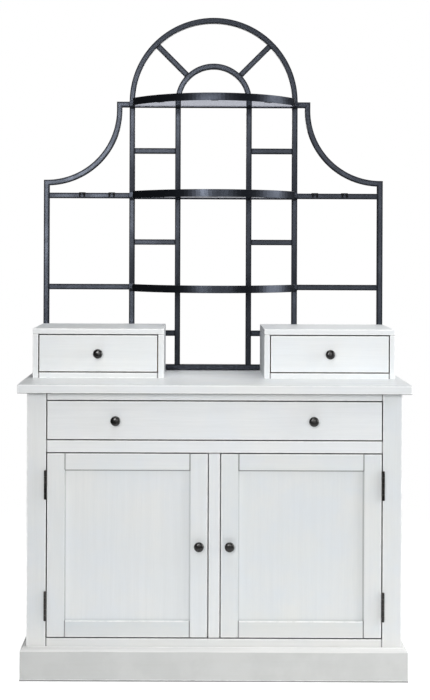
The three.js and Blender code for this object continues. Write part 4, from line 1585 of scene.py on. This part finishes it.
def add_clip(form, centre, top, front, back):
    """Adds a saddle strap over a rail, with two prongs down its front."""
    half, thick = CLIP_WIDTH / 2, CLIP_THICKNESS
    ease = thick / 4
    boards = [
        (centre, half, front - thick, back + thick, top, top + thick),
        (centre, half, back, back + thick, top - TUBE * CLIP_BACK_SHARE, top + ease),
        (centre, half, front - thick, front, top - TUBE * CLIP_FRONT_SHARE, top + ease),
    ]
    foot, head = top - TUBE * PRONG_FOOT_SHARE, top - TUBE * PRONG_TOP_SHARE
    for edge in (-1, 1):
        prong = centre + edge * half * PRONG_PLACE_SHARE
        boards.append((prong, half * PRONG_WIDTH_SHARE, front - thick, front, foot, head))
    for middle, reach, near, far, foot, head in boards:
        add_board(form, (middle - reach, near, foot), (middle + reach, far, head), ease, thick)


def clip_places():
    """Centres of the clips on the wings' middle rails: across, top, front and back."""
    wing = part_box("rack_wing_right")[1].x
    low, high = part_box("rack_outer_hoop")
    top = shelf_heights()[1] + TUBE / 2
    run = wing - TUBE - high.x
    return [(side * (high.x + share * run), top, low.y, high.y) for _, side in SIDES for share in CLIP_SHARES]


class HUTCH_OT_wings(bpy.types.Operator):
    """Bend the wings of the rack and put the clips on their middle rails"""

    bl_idname = "hutch.wings"
    bl_label = "Wings"

    def execute(self, context):
        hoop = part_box("rack_outer_hoop")[1].x
        heights = shelf_heights()
        for word, side in SIDES:
            node = f"rack_wing_{word}"
            low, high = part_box(node)
            outer = max(abs(low.x), abs(high.x)) - TUBE / 2
            stub = hoop + STUB_REACH - TUBE / 2
            shoulder = heights[1] + SHOULDER_RISE - TUBE / 2
            turn = min(outer - stub, heights[2] - shoulder)
            path = [(hoop, heights[2]), (stub, heights[2])]
            path += arc((stub + turn, shoulder + turn), turn, math.pi, math.pi * 1.5)
            path += [(outer, shoulder), (outer, low.z)]
            path = [(side * x, z) for x, z in distinct(path)]
            form = Form()
            add_tube(form, *shaded(path, ((0.0, JOINT_SHADE, JOINT_SHADE * 2),)))
            for rail in (low.z + TUBE / 2, heights[0], heights[1]):
                ends = ((side * hoop, rail), (side * (outer - TUBE / 2), rail))
                add_tube(form, *jointed(ends, CROSS_SHADE))
            steel_piece(f"{node}_tubes", form, node)
        form = Form()
        for place in clip_places():
            add_clip(form, *place)
        make_piece("rack_clips", form, [clip_steel()], "root")
        return {"FINISHED"}


def distinct(path):
    """Drops points that fall on the one before."""
    kept = [path[0]]
    for spot in path[1:]:
        if math.dist(spot, kept[-1]) > TUBE / 100:
            kept.append(spot)
    return kept


def bow_of(half, sag):
    """Radius of a bow from half its width and its depth, and half its angle."""
    radius = (half * half + sag * sag) / (2 * sag)
    return radius, math.asin(half / radius)


class HUTCH_OT_shelves(bpy.types.Operator):
    """Bend the shelf bands and lay in the glass"""

    bl_idname = "hutch.shelves"
    bl_label = "Shelves"

    def execute(self, context):
        low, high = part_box("rack_outer_hoop")
        half, back = high.x - TUBE, low.y
        _, spread = bow_of(half, SHELF_REACH - SHELF_ARM)
        for level, height in zip(LEVELS, shelf_heights()):
            inputs = {
                "Half Width": half, "Lug End": high.x, "Back": back, "Reach": SHELF_REACH, "Arm": SHELF_ARM,
                "Middle Height": height, "Band Height": BAND_HEIGHT, "Band Thickness": BAND_THICKNESS,
                "Corner": context.scene.hutch_metal.band_corner, "Rear Bar": REAR_BAR,
                "Rest Length": REST_LENGTH, "Rest Width": REST_WIDTH,
                "Rest Spread": REST_SPREAD_SHARE * spread, "Finish": shelf_steel(),
            }
            node = f"shelf_band_{level}"
            grown(f"{node}_bent", bowed_shelf_tree(), inputs, "root", [node])
            self.lay_glass(context.scene.hutch_glass.arris, f"shelf_glass_{level}", half - GLASS_GAP, back)
        return {"FINISHED"}

    def lay_glass(self, arris, node, edge, back):
        low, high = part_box(node)
        radius, spread = bow_of(edge, back - SHELF_ARM - low.y)
        outline = arc((0, low.y + radius), radius, -math.pi / 2 - spread, -math.pi / 2 + spread)
        form = Form()
        add_plate(form, outline + [(edge, high.y), (-edge, high.y)], low.z, high.z, arris)
        make_piece(f"{node}_plate", form, [shelf_glass()], "root", [node])


def put_screws(name, kind, slot, seeds, body="root"):
    """Puts a kind of screw at each seed, which is a place and the way that it faces."""
    finish = dark_bronze() if slot == "dark_bronze" else rack_steel()
    inputs = {**dict(zip(SCREW_MEASURES, SCREWS[kind])), "Finish": finish}
    grown(name, screw_tree(), inputs, body, seeds=seeds)


def spaced(low, high, count):
    """Evenly spaced places from one inset end to the other."""
    run = high - low - 2 * PANEL_PIN_INSET
    return [low + PANEL_PIN_INSET + run * index / (count - 1) for index in range(count)]


class HUTCH_OT_screws(bpy.types.Operator):
    """Put in the screws of the hinges, shelf lugs, clips and back panel"""

    bl_idname = "hutch.screws"
    bl_label = "Screws"

    def execute(self, context):
        root, doors = [], {"left_door": [], "right_door": []}
        for word, side in SIDES:
            for level in HINGE_LEVELS:
                low, high, post_face, door_face = hinge_faces(f"{word}_{level}_hinge", side)
                y = high.y - LEAF_DEPTH / 2 + KNUCKLE_GAP
                for share in LEAF_SCREW_SHARES:
                    z = low.z + share * (high.z - low.z)
                    root.append(((post_face - side * LEAF_THICKNESS, y, z), (-side, 0, 0)))
                    doors[f"{word}_door"].append(((door_face, y, z), (side, 0, 0)))
        put_screws("post_leaf_screws", "leaf", "dark_bronze", root)
        for body, seeds in doors.items():
            put_screws(f"{body}_leaf_screws", "leaf", "dark_bronze", seeds, body)

        low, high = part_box("rack_outer_hoop")
        lug_x, lug_y = high.x - TUBE / 2, low.y - BAND_THICKNESS
        lugs = [(side * lug_x, lug_y, height) for height in shelf_heights() for _, side in SIDES]
        put_screws("shelf_lug_screws", "lug", "rack_steel", [(place, FORWARD) for place in lugs])
        drop = TUBE * CLIP_SCREW_SHARE
        clips = [(x, front - CLIP_THICKNESS, top - drop) for x, top, front, _ in clip_places()]
        put_screws("clip_screws", "clip", "rack_steel", [(place, FORWARD) for place in clips])
        self.pin_back()
        return {"FINISHED"}

    def pin_back(self):
        """Pins the back panel all round its border."""
        low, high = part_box("back_panel")
        columns, rows = spaced(low.x, high.x, PANEL_PINS_ACROSS), spaced(low.z, high.z, PANEL_PINS_UP)
        places = [(x, z) for x in columns for z in (rows[0], rows[-1])]
        places += [(x, z) for z in rows[1:-1] for x in (columns[0], columns[-1])]
        seeds = [((x, high.y - BACK_RECESS, z), BACKWARD) for x, z in places]
        put_screws("back_panel_screws", "panel", "rack_steel", seeds)


def area_light(name, place, target, size, power):
    lamp = bpy.data.lights.new(name, "AREA")
    lamp.shape = "RECTANGLE"
    lamp.size, lamp.size_y = size
    lamp.energy = power
    light = linked(name, lamp)
    light.location = place
    light.visible_camera = False
    light.visible_transmission = False
    light.rotation_euler = (Vector(target) - Vector(place)).to_track_quat("-Z", "Y").to_euler()


def light_path(tree):
    return tree.nodes.new("ShaderNodeLightPath").outputs


def studio_air(level, mirrored):
    """White behind the hutch, dimmer in sharp reflections, and dimmer still in the light that it gives."""
    world = bpy.data.worlds.new("studio_air")
    world.use_nodes = True
    tree = world.node_tree
    tree.nodes.clear()
    path = light_path(tree)
    seen = math_node(tree, "MAXIMUM", path["Is Camera Ray"], path["Is Transmission Ray"])
    strength = ranged(tree, path["Is Singular Ray"], 0, 1, level, mirrored)
    white = add_node(tree, "ShaderNodeBackground", Color=(1, 1, 1, 1), Strength=1.0).outputs[0]
    dim = add_node(tree, "ShaderNodeBackground", Color=(0.97, 0.98, 1.0, 1), Strength=strength).outputs[0]
    mix = add_node(tree, "ShaderNodeMixShader", at={0: seen, 1: dim, 2: white}).outputs[0]
    add_node(tree, "ShaderNodeOutputWorld", Surface=mix)
    bpy.context.scene.world = world


def contact_shade(tree, place, seen):
    """Dark line on the floor where the front of the plinth stands on it, for camera rays."""
    low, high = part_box("plinth")
    reach, middle = (high - low) / 2, (high + low) / 2
    moved = vector_node(tree, "SUBTRACT", place, (middle.x, middle.y, 0.0))
    size = vector_node(tree, "ABSOLUTE", moved)
    gaps = parts_of(tree, vector_node(tree, "SUBTRACT", size, (reach.x, reach.y, 1.0)))
    line = ranged(tree, gaps["Y"], CONTACT_LINE / 2, CONTACT_LINE, 0.85, 0)
    beside = ranged(tree, gaps["X"], 0, CONTACT_LINE / 5, 1, 0)
    return times(tree, times(tree, line, beside), seen)


@finish_named("studio_floor")
def floor_finish(tree, place):
    """Pale floor that fades into the white air away from the hutch."""
    colour = tuple(bpy.context.scene.hutch_stage.floor)
    seen = light_path(tree)["Is Camera Ray"]
    distance = add_node(tree, "ShaderNodeVectorMath", {"operation": "LENGTH"}, {0: place}).outputs["Value"]
    cloud = times(tree, noise(tree, place, 3.0, 2.0), 0.03)
    tone = mixed(tree, cloud, colour, (0.85, 0.85, 0.86, 1))
    shade = contact_shade(tree, place, seen)
    return {
        "Base Color": mixed(tree, shade, tone, (0.10, 0.10, 0.10, 1)),
        "Alpha": ranged(tree, distance, *FLOOR_FADE, 1, 0),
        "Emission Color": (1, 1, 1, 1),
        "Emission Strength": times(tree, seen, times(tree, minus(tree, 1.0, shade), FLOOR_GLOW)),
        "Roughness": 0.7,
    }


class HUTCH_OT_stage(bpy.types.Operator):
    """Set up the pale floor, soft lights and camera"""

    bl_idname = "hutch.stage"
    bl_label = "Stage"

    def execute(self, context):
        stage = context.scene.hutch_stage
        mesh = bpy.data.meshes.new("studio_floor")
        ways = ((-1, -1), (1, -1), (1, 1), (-1, 1))
        corners = [(x * FLOOR_HALF, y * FLOOR_HALF, -FLOOR_DROP) for x, y in ways]
        mesh.from_pydata(corners, [], [(0, 1, 2, 3)])
        mesh.materials.append(floor_finish())
        linked("studio_floor", mesh)
        studio_air(stage.air, stage.mirrored)
        for name, place, target, size in LIGHTS:
            area_light(f"{name}_light", place, target, size, getattr(stage, name))

        width, height = PICTURE_SIZE
        lens = bpy.data.cameras.new("photo_view")
        lens.lens = stage.lens
        lens.shift_x = (width / 2 - PICTURE_AXIS[0]) / height
        lens.shift_y = (PICTURE_AXIS[1] - height / 2) / height
        camera = linked("photo_view", lens)
        camera.location = CAMERA_PLACE
        camera.rotation_euler = (math.pi / 2, CAMERA_ROLL, 0)
        context.scene.camera = camera
        context.scene.view_settings.view_transform = "Standard"
        return {"FINISHED"}


OPERATORS = (
    HUTCH_OT_frame, HUTCH_OT_plinth, HUTCH_OT_sides, HUTCH_OT_inside, HUTCH_OT_drawers, HUTCH_OT_doors,
    HUTCH_OT_boxes, HUTCH_OT_knobs, HUTCH_OT_hinges, HUTCH_OT_hoops, HUTCH_OT_wings, HUTCH_OT_shelves,
    HUTCH_OT_screws, HUTCH_OT_stage,
)


class HUTCH_PT_panel(bpy.types.Panel):
    """Lists the settings and the steps that build the hutch"""

    bl_idname = "HUTCH_PT_panel"
    bl_label = "Arched Hutch"
    bl_space_type = "VIEW_3D"
    bl_region_type = "UI"
    bl_category = "Hutch"

    def draw(self, context):
        for group in SETTINGS:
            holder = getattr(context.scene, group)
            column = self.layout.column(align=True)
            for name in holder.__annotations__:
                column.prop(holder, name)
        for operator in OPERATORS:
            self.layout.operator(operator.bl_idname)


SETTINGS = {
    "hutch_paint": HutchPaint,
    "hutch_wood": HutchWood,
    "hutch_metal": HutchMetal,
    "hutch_glass": HutchGlass,
    "hutch_stage": HutchStage,
}
CLASSES = (*SETTINGS.values(), *OPERATORS, HUTCH_PT_panel)


def register():
    for each in CLASSES:
        bpy.utils.register_class(each)
    for name, group in SETTINGS.items():
        setattr(bpy.types.Scene, name, bpy.props.PointerProperty(type=group))


def unregister():
    for name in SETTINGS:
        delattr(bpy.types.Scene, name)
    for each in reversed(CLASSES):
        bpy.utils.unregister_class(each)


def main():
    register()
    bpy.ops.hutch.frame()
    bpy.ops.hutch.plinth()
    bpy.ops.hutch.sides()
    bpy.ops.hutch.inside()
    bpy.ops.hutch.drawers()
    bpy.ops.hutch.doors()
    bpy.ops.hutch.boxes()
    bpy.ops.hutch.knobs()
    bpy.ops.hutch.hinges()
    bpy.ops.hutch.hoops()
    bpy.ops.hutch.wings()
    bpy.ops.hutch.shelves()
    bpy.ops.hutch.screws()
    bpy.ops.hutch.stage()


if __name__ == "__main__":
    main()
